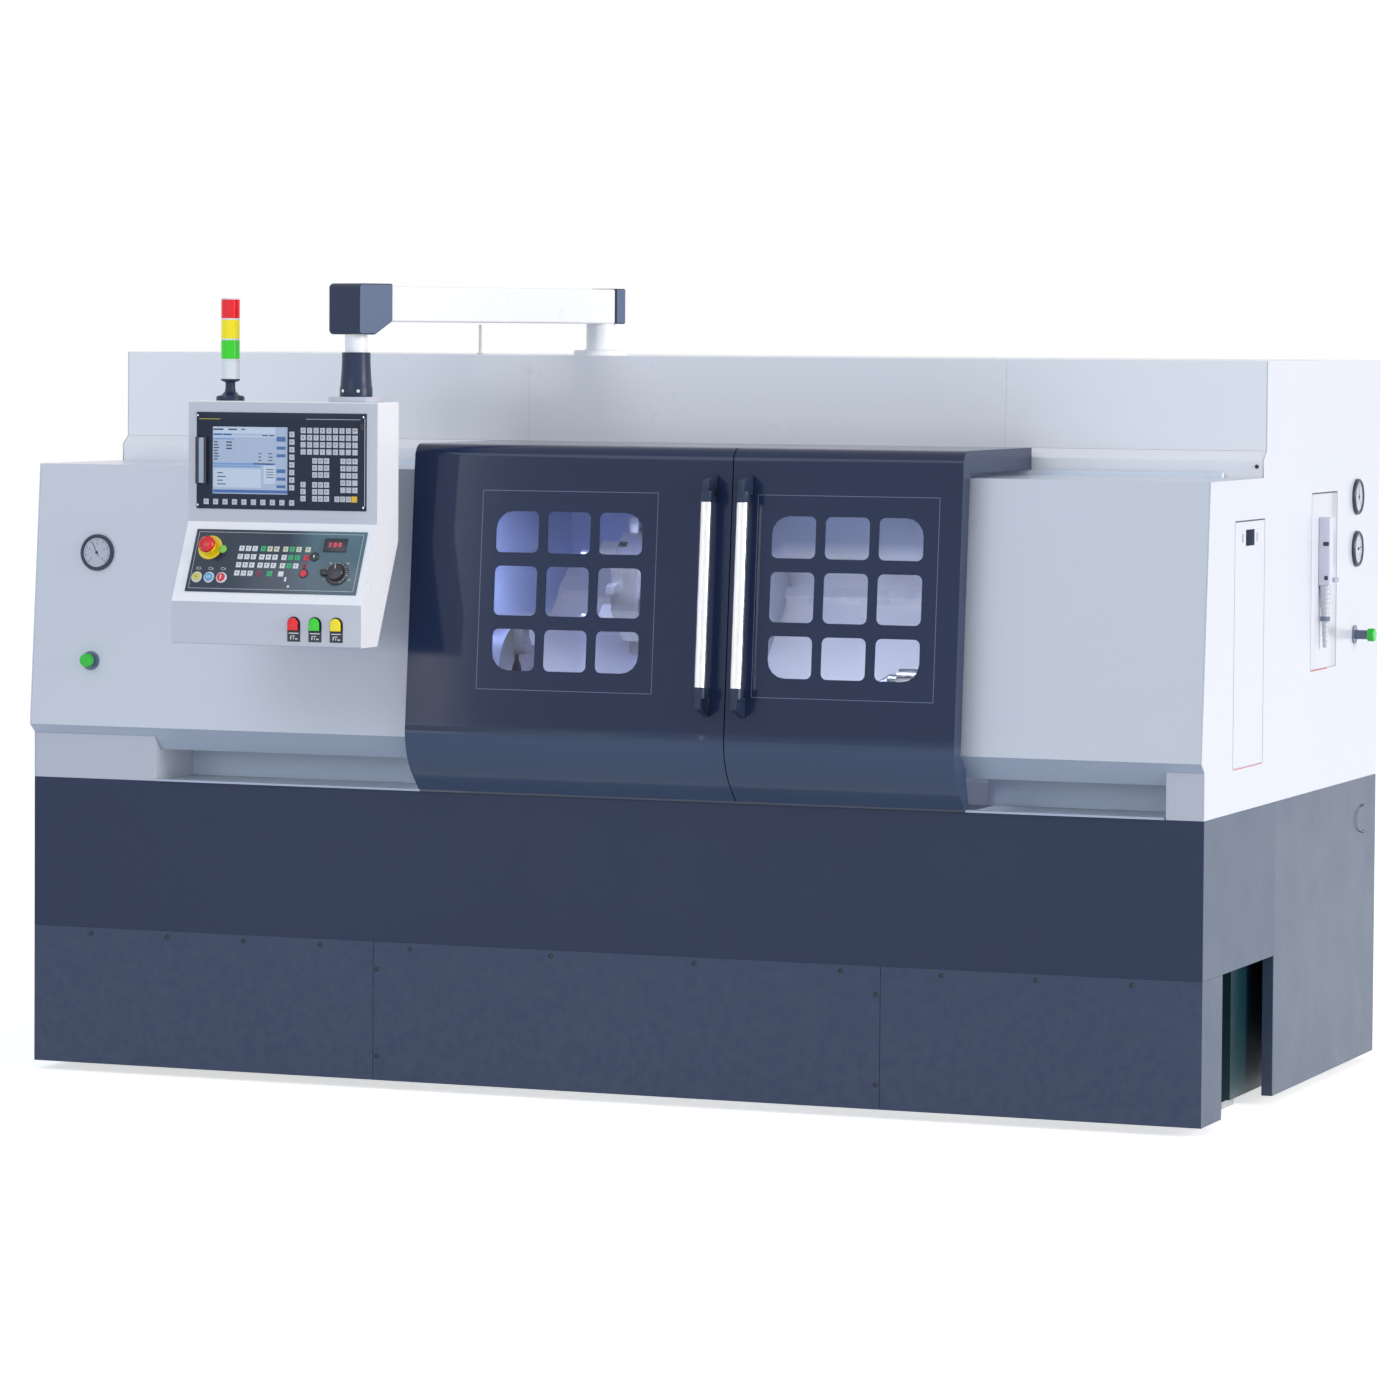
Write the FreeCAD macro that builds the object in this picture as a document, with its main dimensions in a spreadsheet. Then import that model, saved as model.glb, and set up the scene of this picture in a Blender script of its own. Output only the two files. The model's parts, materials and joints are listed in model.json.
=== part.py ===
import FreeCAD, Part
import math
import os
import Sketcher

# Slant-bed turning lathe with a sheet-metal enclosure, two sliding doors and a hanging console.
# Frame: X to the right along the spindle, Y to the back, Z up. The origin lies on the floor,
# midway between the four outer anchor holes. All sizes are millimetres.

os.makedirs("parts", exist_ok=True)
doc = FreeCAD.newDocument("turning_lathe")
sheet = doc.addObject("Spreadsheet::Sheet", "Sizes")


# ---------------------------------------------------------------- sizes that drive the model

class Size:
    """A length or an angle: its number, and the formula that ties it to the sheet."""

    def __init__(self, number, formula):
        self.number = float(number)
        self.formula = formula

    def __add__(self, other):
        return joined(self, "+", other, self.number + number_of(other))

    def __radd__(self, other):
        return joined(other, "+", self, number_of(other) + self.number)

    def __sub__(self, other):
        return joined(self, "-", other, self.number - number_of(other))

    def __rsub__(self, other):
        return joined(other, "-", self, number_of(other) - self.number)

    def __mul__(self, other):
        return joined(self, "*", other, self.number * number_of(other))

    def __rmul__(self, other):
        return joined(other, "*", self, number_of(other) * self.number)

    def __truediv__(self, other):
        return joined(self, "/", other, self.number / number_of(other))

    def __neg__(self):
        return joined(0, "-", self, -self.number)


def number_of(value):
    return value.number if isinstance(value, Size) else float(value)


def formula_of(value):
    return value.formula if isinstance(value, Size) else repr(float(value))


def joined(left, sign, right, number):
    return Size(number, "(%s %s %s)" % (formula_of(left), sign, formula_of(right)))


def tan(angle):
    return Size(math.tan(math.radians(angle.number)), "tan(%s)" % angle.formula)


def cos(angle):
    return Size(math.cos(math.radians(angle.number)), "cos(%s)" % angle.formula)


def sin(angle):
    return Size(math.sin(math.radians(angle.number)), "sin(%s)" % angle.formula)


cell_rows = []


def cell(alias, number):
    """Write one named size into the sheet."""
    cell_rows.append(alias)
    row = len(cell_rows)
    sheet.set("A%d" % row, alias)
    sheet.set("B%d" % row, str(number))
    sheet.setAlias("B%d" % row, alias)
    return Size(number, "Sizes.%s" % alias)


# base covers
base_length = cell("base_length", 3350)
base_front = cell("base_front", 940)
base_back = cell("base_back", 800)
foot_gap = cell("foot_gap", 25)
kick_height = cell("kick_height", 376)
band_height = cell("band_height", 411)
sheet_wall = cell("sheet_wall", 3)
seam = cell("seam", 0.5)
flange = cell("flange", 30)
kick_wrap = cell("kick_wrap", 187)
kick_joint_left = cell("kick_joint_left", 646)
kick_joint_right = cell("kick_joint_right", 804)
side_joint = cell("side_joint", 676)
deck_depth = cell("deck_depth", 230)

# screws of the kick panels

# upper covers
face_lean = cell("face_lean", 4.71)
brow = cell("brow", 28)
chin_height = cell("chin_height", 123)
face_foot_rise = cell("face_foot_rise", 24)
face_height = cell("face_height", 716)
toe_slope = cell("toe_slope", 35)
toe_height = cell("toe_height", 85)
toe_block_left = cell("toe_block_left", 371)
toe_block_right = cell("toe_block_right", 102)
hood_left_end = cell("hood_left_end", 490)
hood_right_end = cell("hood_right_end", 1020)
ledge_back = cell("ledge_back", 528)
ledge_rise = cell("ledge_rise", 47)
ledge_tuck = cell("ledge_tuck", 6)
box_back = cell("box_back", 559)
box_rise = cell("box_rise", 71)
box_height = cell("box_height", 237)
box_joint_left = cell("box_joint_left", 434.6)
box_joint_right = cell("box_joint_right", 951.4)

# casting, slant and machine inside
bed_end_gap = cell("bed_end_gap", 75)
bed_depth = cell("bed_depth", 822)
bed_bottom = cell("bed_bottom", 28)
bed_wall = cell("bed_wall", 40)
bed_top = cell("bed_top", 1400)
rib_count = cell("rib_count", 5)
slant = cell("slant", 45)
spindle_height = cell("spindle_height", 1110)
spindle_back = cell("spindle_back", 470)
axis_to_bed = cell("axis_to_bed", 290)

# feet
pad_length = cell("pad_length", 240)
pad_width = cell("pad_width", 110)
pad_thickness = cell("pad_thickness", 20)
anchor_inset = cell("anchor_inset", 90)
anchor_half_y = cell("anchor_half_y", 340)
anchor_radius = cell("anchor_radius", 11)
inner_foot_x = cell("inner_foot_x", 500)
jack_offset = cell("jack_offset", 110)
jack_radius = cell("jack_radius", 12)
jack_play = cell("jack_play", 1)
jack_length = cell("jack_length", 110)
lug_size = cell("lug_size", 120)
lug_height = cell("lug_height", 50)
nut_radius = cell("nut_radius", 20)

round_sides = 12
wide_sides = 24
corner_sides = 4
quarter_turn = Size(90, "90")
nothing = Size(0, "0")
half = base_length / 2
bed_length = base_length - bed_end_gap * 2
anchor_half_x = bed_length / 2 - anchor_inset
front = -base_front
back = base_back
kick_top = foot_gap + kick_height
base_top = kick_top + band_height
chin_z = base_top + chin_height
face_foot_y = front - brow
face_foot_z = chin_z + face_foot_rise
hood_z = face_foot_z + face_height
hood_y = face_foot_y + tan(face_lean) * face_height
toe_z = base_top + toe_height
deck_back = front + deck_depth
ledge_y = front + ledge_back
ledge_z = hood_z + ledge_rise
box_y = front + box_back
box_z = hood_z + box_rise
box_top = box_z + box_height
side_y = front + side_joint
spindle_y = -spindle_back
bed_front = -bed_depth / 2
bed_back = bed_depth / 2

finished = {}


# ---------------------------------------------------------------- ways of making shapes

def bind(thing, path, value):
    thing.setExpression(path, formula_of(value))


def place(thing, x=0, y=0, z=0, axis=None, angle=None):
    """Put a piece at a bound position, turned about one axis by a bound angle."""
    if axis is not None:
        thing.Placement = FreeCAD.Placement(
            FreeCAD.Vector(0, 0, 0), FreeCAD.Rotation(FreeCAD.Vector(*axis), number_of(angle)))
        bind(thing, "Placement.Rotation.Angle", angle)
    for letter, value in (("x", x), ("y", y), ("z", z)):
        bind(thing, "Placement.Base.%s" % letter, value)
    return thing


def keep(name, thing):
    """Register a finished sub-part under the name of its node."""
    thing.Label = name
    finished[name] = thing
    return thing


def new_body(name):
    body = doc.addObject("PartDesign::Body", name)
    body.Label = name
    return body


def origin_plane(body, role):
    return [item for item in body.Origin.OriginFeatures if item.Role == role][0]


def draw(body, role, name, loops, circles=(), offset=None):
    """Sketch closed outlines and circles; each corner and radius is bound to the sheet."""
    sketch = body.newObject("Sketcher::SketchObject", name)
    sketch.AttachmentSupport = (origin_plane(body, role), [""])
    sketch.MapMode = "FlatFace"
    if offset is not None:
        bind(sketch, "AttachmentOffset.Base.z", offset)
    for corners in loops:
        first = sketch.GeometryCount
        count = len(corners)
        spots = [FreeCAD.Vector(number_of(u), number_of(v), 0) for u, v in corners]
        for index in range(count):
            sketch.addGeometry(Part.LineSegment(spots[index], spots[(index + 1) % count]), False)
        for index in range(count):
            following = first + (index + 1) % count
            sketch.addConstraint(Sketcher.Constraint("Coincident", first + index, 2, following, 1))
        for index, (u, v) in enumerate(corners):
            fix_point(sketch, first + index, 1, u, v)
    for u, v, radius in circles:
        centre = FreeCAD.Vector(number_of(u), number_of(v), 0)
        ring = sketch.addGeometry(
            Part.Circle(centre, FreeCAD.Vector(0, 0, 1), number_of(radius)), False)
        fix_point(sketch, ring, 3, u, v)
        spot = sketch.addConstraint(Sketcher.Constraint("Radius", ring, number_of(radius)))
        bind(sketch, "Constraints[%d]" % spot, radius)
    return sketch


def fix_point(sketch, geometry, end, u, v):
    for kind, axis, value in (("DistanceX", -2, u), ("DistanceY", -1, v)):
        if number_of(value) == 0:
            sketch.addConstraint(Sketcher.Constraint("PointOnObject", geometry, end, axis))
            continue
        distance = Sketcher.Constraint(kind, -1, 1, geometry, end, number_of(value))
        bind(sketch, "Constraints[%d]" % sketch.addConstraint(distance), value)


def pad(body, sketch, length, both_ways=False, backwards=False):
    feature = body.newObject("PartDesign::Pad", sketch.Name + "_pad")
    feature.Profile = sketch
    feature.Midplane = both_ways
    feature.Reversed = backwards
    bind(feature, "Length", length)
    return feature


def pocket(body, sketch, length, both_ways=False, backwards=False):
    feature = body.newObject("PartDesign::Pocket", sketch.Name + "_pocket")
    feature.Profile = sketch
    feature.Midplane = both_ways
    feature.Reversed = backwards
    bind(feature, "Length", length)
    return feature


def extruded(name, outline, start, end, role="YZ_Plane", circles=()):
    """A body of one outline pushed from start to end along its plane's normal."""
    body = new_body(name)
    sketch = draw(body, role, name + "_outline", [outline], circles, start)
    pad(body, sketch, end - start)
    return body


def standing(name, outline, low, high, circles=()):
    """A plan outline raised from low to high."""
    return extruded(name, outline, low, high, "XY_Plane", circles)


def turned(name, profile):
    """A body turned about its own Z axis from (radius, height) corners."""
    body = new_body(name)
    sketch = draw(body, "XZ_Plane", name + "_profile", [profile])
    feature = body.newObject("PartDesign::Revolution", name + "_turning")
    feature.Profile = sketch
    feature.ReferenceAxis = (sketch, ["V_Axis"])
    feature.Angle = 360.0
    return body


def box(name, low, high):
    """A block between two opposite corners."""
    block = doc.addObject("Part::Box", name)
    for index, (side, letter) in enumerate((("Length", "x"), ("Width", "y"), ("Height", "z"))):
        bind(block, side, high[index] - low[index])
        bind(block, "Placement.Base.%s" % letter, low[index])
    return block


def cylinder(name, centre, radius, length, axis="z"):
    """A cylinder that starts at centre and runs along one axis of the frame."""
    rod = doc.addObject("Part::Cylinder", name)
    bind(rod, "Radius", radius)
    bind(rod, "Height", length)
    turn = {"x": ((0, 1, 0), 90), "y": ((1, 0, 0), -90), "z": ((0, 0, 1), 0)}[axis]
    rod.Placement = FreeCAD.Placement(
        FreeCAD.Vector(0, 0, 0), FreeCAD.Rotation(FreeCAD.Vector(*turn[0]), turn[1]))
    for letter, value in zip("xyz", centre):
        bind(rod, "Placement.Base.%s" % letter, value)
    return rod


def stacked(name, sides, steps, bore=None):
    """A small round piece as many-sided prisms, one on another: (low, high, radius) each."""
    prisms = []
    for index, (low, high, radius) in enumerate(steps):
        prism = doc.addObject("Part::Prism", "%s_step_%d" % (name, index))
        prism.Polygon = sides
        bind(prism, "Circumradius", radius)
        bind(prism, "Height", high - low)
        bind(prism, "Placement.Base.z", low)
        prisms.append(prism)
    if len(prisms) == 1:
        piece = group(name + "_stack", prisms)
    else:
        piece = fuse(name + "_stack", prisms)
    if bore is None:
        return piece
    foot, top, radius = bore
    hole = doc.addObject("Part::Prism", name + "_bore")
    hole.Polygon = sides
    bind(hole, "Circumradius", radius)
    bind(hole, "Height", top - foot)
    bind(hole, "Placement.Base.z", foot)
    return cut(name + "_bored", piece, [hole])


def group(name, things):
    bundle = doc.addObject("Part::Compound", name)
    bundle.Links = things
    return bundle


def cut(name, base, tools):
    result = doc.addObject("Part::Cut", name)
    result.Base = base
    result.Tool = tools[0] if len(tools) == 1 else group(name + "_tools", tools)
    return result


def fuse(name, things):
    result = doc.addObject("Part::MultiFuse", name)
    result.Shapes = things
    return result


def near(value, target, allowance=0.01):
    return abs(value - number_of(target)) < allowance


def edges_along(shape, axis, spots):
    """Names of the straight edges parallel to an axis that pass through the given spots."""
    letters = [letter for letter in "xyz" if letter != axis]
    names = []
    for index, edge in enumerate(shape.Edges):
        if len(edge.Vertexes) < 2 or not isinstance(edge.Curve, Part.Line):
            continue
        ends = [vertex.Point for vertex in edge.Vertexes]
        for spot in spots:
            if all(near(getattr(end, letter), value)
                   for end in ends for letter, value in zip(letters, spot)):
                names.append("Edge%d" % (index + 1))
                break
    return names


def rounded(body, axis, spots, radius):
    """Round the edges of a body that run along an axis through the given spots."""
    doc.recompute()
    tip = body.Tip
    feature = body.newObject("PartDesign::Fillet", body.Name + "_round_%d" % len(body.Group))
    feature.Base = (tip, edges_along(tip.Shape, axis, spots))
    bind(feature, "Radius", radius)
    return feature


def shelled(body, open_spots, wall):
    """Hollow a body to a wall, open at the faces that the given points lie on."""
    doc.recompute()
    tip = body.Tip
    names = []
    for index, face in enumerate(tip.Shape.Faces):
        for spot in open_spots:
            point = Part.Vertex(FreeCAD.Vector(*[number_of(value) for value in spot]))
            if face.distToShape(point)[0] < 0.01:
                names.append("Face%d" % (index + 1))
                break
    feature = body.newObject("PartDesign::Thickness", body.Name + "_shell")
    feature.Base = (tip, names)
    feature.Reversed = True
    bind(feature, "Value", wall)
    return feature


def middle(first, second):
    return (first + second) / 2


# ---------------------------------------------------------------- casting and feet

def slope_z(y):
    """Height of the slanted bed face above a place along Y."""
    along = (y - spindle_y) * tan(slant)
    return spindle_height + along - axis_to_bed / cos(slant)


def slope_y(z):
    """Place along Y where the slanted bed face reaches a height."""
    return spindle_y + (z - spindle_height + axis_to_bed / cos(slant)) / tan(slant)


bed_knee = slope_z(bed_front)
bed_crest = slope_y(bed_top)


def foot_spots():
    """Centre of each jack screw, and which way along X its anchor hole lies."""
    spots = []
    for away in (-1, 1):
        for reach in (anchor_half_x, inner_foot_x + jack_offset):
            for y in (-anchor_half_y, anchor_half_y):
                spots.append(((reach - jack_offset) * away, y, away))
    return spots


def make_bed_casting():
    body = new_body("bed")
    outline = draw(body, "YZ_Plane", "bed_outline", [[
        (bed_front, bed_bottom), (bed_back, bed_bottom), (bed_back, bed_top),
        (bed_crest, bed_top), (bed_front, bed_knee)]])
    pad(body, outline, bed_length, both_ways=True)
    inner_drop = bed_wall / cos(slant)
    bay = (bed_length - bed_wall) / rib_count
    core = draw(body, "YZ_Plane", "bed_core", [[
        (bed_front + bed_wall, bed_bottom), (bed_back - bed_wall, bed_bottom),
        (bed_back - bed_wall, bed_top - bed_wall),
        (slope_y(bed_top - bed_wall + inner_drop), bed_top - bed_wall),
        (bed_front + bed_wall, slope_z(bed_front + bed_wall) - inner_drop)]],
        offset=bed_wall - bed_length / 2)
    doc.recompute()
    hollow = pocket(body, core, bay - bed_wall, backwards=True)
    repeat = body.newObject("PartDesign::LinearPattern", "bed_bays")
    repeat.Originals = [hollow]
    repeat.Direction = (origin_plane(body, "X_Axis"), [""])
    bind(repeat, "Length", bay * (rib_count - 1))
    bind(repeat, "Occurrences", rib_count)
    body.Tip = repeat
    lugs = []
    holes = []
    for index, (x, y, away) in enumerate(foot_spots()):
        inward = (y + lug_size / 2, y - lug_size / 2)
        lugs.append(box("foot_lug_%d" % index, (x - lug_size / 2, inward[1], bed_bottom),
                        (x + lug_size / 2, inward[0], bed_bottom + lug_height)))
        holes.append(place(stacked("jack_hole_%d" % index, 12, [
            (bed_bottom - 1, bed_bottom + lug_height + 1, jack_radius + jack_play)]), x, y, 0))
    solid = fuse("bed_with_lugs", [body] + lugs)
    keep("bed_casting", cut("bed_casting", solid, holes))


def make_levelling_feet():
    feet = []
    for index, (x, y, away) in enumerate(foot_spots()):
        low = x - pad_length / 2 + jack_offset / 2 * away
        plate = box("foot_plate_%d" % index, (low, y - pad_width / 2, 0),
                    (low + pad_length, y + pad_width / 2, pad_thickness))
        anchor = cylinder("anchor_hole_%d" % index, (x + jack_offset * away, y, -1),
                          anchor_radius, pad_thickness + 2)
        stud = place(stacked("jack_%d" % index, 12, [
            (pad_thickness - 1, jack_length - 1, jack_radius)]), x, y, 0)
        collar = place(stacked("jack_nut_%d" % index, 6, [
            (pad_thickness - 1, bed_bottom, nut_radius)]), x, y, 0)
        drilled = cut("foot_drilled_%d" % index, plate, [anchor])
        feet.append(fuse("foot_%d" % index, [drilled, stud, collar]))
    keep("levelling_feet", group("levelling_feet", feet))


# ---------------------------------------------------------------- base covers

def make_front_band():
    body = new_body("front_band")
    wrap = draw(body, "XY_Plane", "band_plan", [[
        (-half, side_y), (-half, front), (half, front), (half, side_y),
        (half - sheet_wall, side_y), (half - sheet_wall, front + sheet_wall),
        (-half + sheet_wall, front + sheet_wall), (-half + sheet_wall, side_y)]], offset=kick_top)
    pad(body, wrap, band_height)
    deck = draw(body, "XY_Plane", "band_deck", [[
        (-half, front), (half, front), (half, deck_back), (-half, deck_back)]],
        offset=base_top - sheet_wall)
    pad(body, deck, sheet_wall)
    keep("front_band", body)


def corner_panel(name, outer_x, joint_x, away):
    """A kick panel that wraps round a corner; away is +1 at the right and -1 at the left."""
    inner = outer_x - sheet_wall * away
    turn_in = outer_x - flange * away
    edge = joint_x + sheet_wall * away
    wrap_y = front + kick_wrap
    return standing(name, [
        (joint_x, front), (outer_x, front), (outer_x, wrap_y), (turn_in, wrap_y),
        (turn_in, wrap_y - sheet_wall), (inner, wrap_y - sheet_wall), (inner, front + sheet_wall),
        (edge, front + sheet_wall), (edge, front + flange), (joint_x, front + flange)],
        foot_gap, kick_top - seam)


def make_kick_panels():
    left = corner_panel("kick_left", -half, -kick_joint_left - seam, -1)
    right = corner_panel("kick_right", half, kick_joint_right + seam, 1)
    low = -kick_joint_left
    high = kick_joint_right
    centre = standing("kick_centre", [
        (low, front), (high, front), (high, front + flange), (high - sheet_wall, front + flange),
        (high - sheet_wall, front + sheet_wall), (low + sheet_wall, front + sheet_wall),
        (low + sheet_wall, front + flange), (low, front + flange)], foot_gap, kick_top - seam)
    keep("kick_panels", group("kick_panels", [left, centre, right]))


def side_panel(name, start_y, end_y, away, low, high):
    """A flat side sheet with its two upright edges turned inwards."""
    outer = half * away
    inner = outer - sheet_wall * away
    turn_in = outer - flange * away
    return standing(name, [
        (outer, start_y), (outer, end_y), (turn_in, end_y), (turn_in, end_y - sheet_wall),
        (inner, end_y - sheet_wall), (inner, start_y + sheet_wall),
        (turn_in, start_y + sheet_wall), (turn_in, start_y)], low, high)


def make_side_base_panels():
    panels = [
        side_panel("side_base_right", side_y + seam, back, 1, foot_gap, base_top - seam),
        side_panel("side_base_left", side_y + seam, back, -1, foot_gap, base_top - seam),
        side_panel("side_base_low", front + kick_wrap + seam, side_y, -1, foot_gap,
                   kick_top - seam)]
    keep("side_base_panels", group("side_base_panels", panels))


louvre_width = cell("louvre_width", 260)
louvre_height = cell("louvre_height", 12)
louvre_pitch = cell("louvre_pitch", 30)
louvre_low = cell("louvre_low", 110)
rear_split = cell("rear_split", 560)


def rear_sheet(name, low_x, high_x, low_z, high_z):
    """A rear sheet with its upright edges turned inwards."""
    inside = back - sheet_wall
    return standing(name, [
        (low_x, back), (high_x, back), (high_x, back - flange), (high_x - sheet_wall, back - flange),
        (high_x - sheet_wall, inside), (low_x + sheet_wall, inside),
        (low_x + sheet_wall, back - flange), (low_x, back - flange)], low_z, high_z)


def make_rear_panels():
    edge = half - flange - seam
    joints = (-edge, -rear_split, rear_split, edge)
    sheets = []
    for index in range(3):
        low_x = joints[index] + seam
        high_x = joints[index + 1]
        sheets.append(rear_sheet("rear_low_%d" % index, low_x, high_x, foot_gap, base_top - seam))
        sheets.append(rear_sheet("rear_high_%d" % index, low_x, high_x, base_top,
                                 box_top - sheet_wall - seam))
    slots = []
    for column in range(2):
        centre = middle(joints[2 * column], joints[2 * column + 1])
        for row in range(8):
            low_z = base_top + louvre_low + louvre_pitch * row
            slots.append(box("louvre_%d_%d" % (column, row),
                             (centre - louvre_width / 2, back - sheet_wall - 1, low_z),
                             (centre + louvre_width / 2, back + 1, low_z + louvre_height)))
    keep("rear_panels", cut("rear_panels", group("rear_sheets", sheets), slots))


# ---------------------------------------------------------------- upper covers

hatch_front = cell("hatch_front", 261)
hatch_width = cell("hatch_width", 281)
hatch_low = cell("hatch_low", 114)
hatch_height = cell("hatch_height", 640)
hatch_gap = cell("hatch_gap", 0.8)
service_front = cell("service_front", 1018)
service_width = cell("service_width", 263)
service_low = cell("service_low", 330)
service_height = cell("service_height", 479)
bar_hole_radius = cell("bar_hole_radius", 55)

hatch_y = front + hatch_front
hatch_z = base_top + hatch_low
service_y = front + service_front
service_z = base_top + service_low


def side_outline():
    return [
        (front, base_top), (back, base_top), (back, box_top), (box_y, box_top),
        (box_y, box_z), (ledge_y, ledge_z), (ledge_y, hood_z), (hood_y, hood_z),
        (face_foot_y, face_foot_z), (front, chin_z)]


def make_side_walls():
    right = extruded("side_wall_right_sheet", side_outline(), half - sheet_wall, half)
    left = extruded("side_wall_left_sheet", side_outline(), -half, -half + sheet_wall)
    hatch_hole = box("hatch_hole", (half - sheet_wall - 1, hatch_y, hatch_z),
                     (half + 1, hatch_y + hatch_width, hatch_z + hatch_height))
    service_hole = box("service_hole", (half - sheet_wall - 1, service_y, service_z),
                       (half + 1, service_y + service_width, service_z + service_height))
    bar_hole = cylinder("bar_hole", (-half - 1, spindle_y, spindle_height), bar_hole_radius,
                        sheet_wall + 2, "x")
    walls = [cut("side_wall_right", right, [hatch_hole, service_hole]),
             cut("side_wall_left", left, [bar_hole])]
    keep("side_walls", group("side_walls", walls))


def hood(name, start, end):
    """The bent front sheet: roof, leaning face, chin and toe recess in one piece."""
    body = new_body(name)
    floor = base_top + seam
    outline = draw(body, "YZ_Plane", name + "_outline", [[
        (ledge_y - seam, floor), (ledge_y - seam, hood_z), (hood_y, hood_z),
        (face_foot_y, face_foot_z), (front, chin_z), (front + toe_slope, toe_z),
        (deck_back, toe_z), (deck_back, floor)]], offset=start)
    pad(body, outline, end - start)
    mid_y = middle(ledge_y, deck_back)
    mid_z = middle(floor, hood_z)
    shelled(body, [(start, mid_y, mid_z), (end, mid_y, mid_z),
                   (middle(start, end), ledge_y - seam, mid_z),
                   (middle(start, end), mid_y, floor)], sheet_wall)
    keep(name, body)


def make_hoods():
    inside = half - sheet_wall - seam
    hood("hood_left", -inside, -hood_left_end)
    hood("hood_right", hood_right_end, inside)


def toe_block(name, start, end):
    body = extruded(name, [
        (front, base_top), (deck_back - seam, base_top), (deck_back - seam, toe_z - seam),
        (front + toe_slope - seam, toe_z - seam), (front, chin_z - seam)], start, end)
    shelled(body, [(middle(start, end), middle(front, deck_back), base_top)], sheet_wall)
    return body


def make_toe_blocks():
    inside = half - sheet_wall - seam
    left = toe_block("toe_block_l", -inside, -half + toe_block_left)
    right = toe_block("toe_block_r", half - toe_block_right, inside)
    keep("toe_blocks", group("toe_blocks", [left, right]))


def ledge_sheet(start, end):
    lift = box_z - seam
    return extruded("ledge_sheet", [
        (ledge_y, hood_z - ledge_tuck), (ledge_y + sheet_wall, hood_z - ledge_tuck),
        (ledge_y + sheet_wall, ledge_z - sheet_wall), (box_y, lift - sheet_wall * 1.3),
        (box_y, lift), (ledge_y, ledge_z - seam)], start, end)


def roof_panel(name, start, end):
    rear = back - flange - seam
    return extruded(name, [
        (box_y, box_z), (box_y + sheet_wall, box_z), (box_y + sheet_wall, box_top - sheet_wall),
        (rear, box_top - sheet_wall), (rear, box_top), (box_y, box_top)], start, end)


def make_roof_box():
    inside = half - sheet_wall - seam
    panels = [
        roof_panel("roof_left", -inside, -box_joint_left - seam),
        roof_panel("roof_centre", -box_joint_left, box_joint_right - seam),
        roof_panel("roof_right", box_joint_right, inside),
        ledge_sheet(-inside, inside)]
    keep("roof_box_panels", group("roof_box_panels", panels))


# ---------------------------------------------------------------- doors

door_proud = cell("door_proud", 80)
door_wall = cell("door_wall", 3)
door_left_edge = cell("door_left_edge", 508)
door_seam = cell("door_seam", 403)
door_right_edge = cell("door_right_edge", 1037)
door_gap = cell("door_gap", 3)
door_roof_rise = cell("door_roof_rise", 72)
skirt_gap = cell("skirt_gap", 13)
return_gap = cell("return_gap", 24)
door_rear_gap = cell("door_rear_gap", 8)
lip_rise = cell("lip_rise", 6)
lip_front = cell("lip_front", 14)
lip_depth = cell("lip_depth", 31)
curve_knee = cell("curve_knee", 104)
door_curve = cell("door_curve", 175)
roof_curve = cell("roof_curve", 40)
strip_width = cell("strip_width", 15)
strip_gap = cell("strip_gap", 0.4)
low_strip_width = cell("low_strip_width", 24)
low_strip_inset = cell("low_strip_inset", 6)
rail_end_gap = cell("rail_end_gap", 4)

window_width = cell("window_width", 500)
window_height = cell("window_height", 528)
window_rise = cell("window_rise", 140)
window_left_centre = cell("window_left_centre", 55)
window_right_centre = cell("window_right_centre", 726)
window_fit = cell("window_fit", 0.6)
cell_width = cell("cell_width", 122)
cell_pitch = cell("cell_pitch", 148)
cell_low = cell("cell_low", 51)
cell_end_height = cell("cell_end_height", 110)
cell_mid_height = cell("cell_mid_height", 131)
cell_gap = cell("cell_gap", 36)
cell_round = cell("cell_round", 16)
cell_corner_round = cell("cell_corner_round", 48)
glass_thickness = cell("glass_thickness", 6)
glass_margin = cell("glass_margin", 30)

door_roof_z = hood_z + door_roof_rise
door_rear_y = ledge_y - door_rear_gap
lean_step = tan(face_lean)
door_foot_y = face_foot_y - door_proud / cos(face_lean)


def door_face_y(z):
    """Where the front skin of the doors stands at a height."""
    return door_foot_y + (z - face_foot_z) * lean_step


lip_z = base_top + lip_rise
lip_y = front - lip_front
knee_z = base_top + curve_knee
skirt_z = hood_z + skirt_gap
return_y = face_foot_y - return_gap + lean_step * skirt_gap


def door_outline():
    """Side view of a door: lip, curved foot, leaning face, roof, and the inside of its returns."""
    return [
        (lip_y, lip_z), (door_face_y(knee_z), knee_z), (door_face_y(door_roof_z), door_roof_z),
        (door_rear_y, door_roof_z), (door_rear_y, skirt_z),
        (hood_y - return_gap, skirt_z), (face_foot_y - return_gap, face_foot_z),
        (front - return_gap / 2, chin_z - return_gap / 2), (lip_y + lip_depth, lip_z)]


def door_shell(name, start, end):
    body = new_body(name + "_skin")
    outline = draw(body, "YZ_Plane", name + "_outline", [door_outline()], offset=start)
    pad(body, outline, end - start)
    rounded(body, "x", [(door_face_y(knee_z), knee_z)], door_curve)
    rounded(body, "x", [(door_face_y(door_roof_z), door_roof_z)], roof_curve)
    mid = middle(start, end)
    corners = door_outline()
    inner_faces = []
    for first, second in ((4, 5), (5, 6), (6, 7), (7, 8)):
        inner_faces.append((mid, middle(corners[first][0], corners[second][0]),
                            middle(corners[first][1], corners[second][1])))
    shelled(body, inner_faces, door_wall)
    return body


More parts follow.
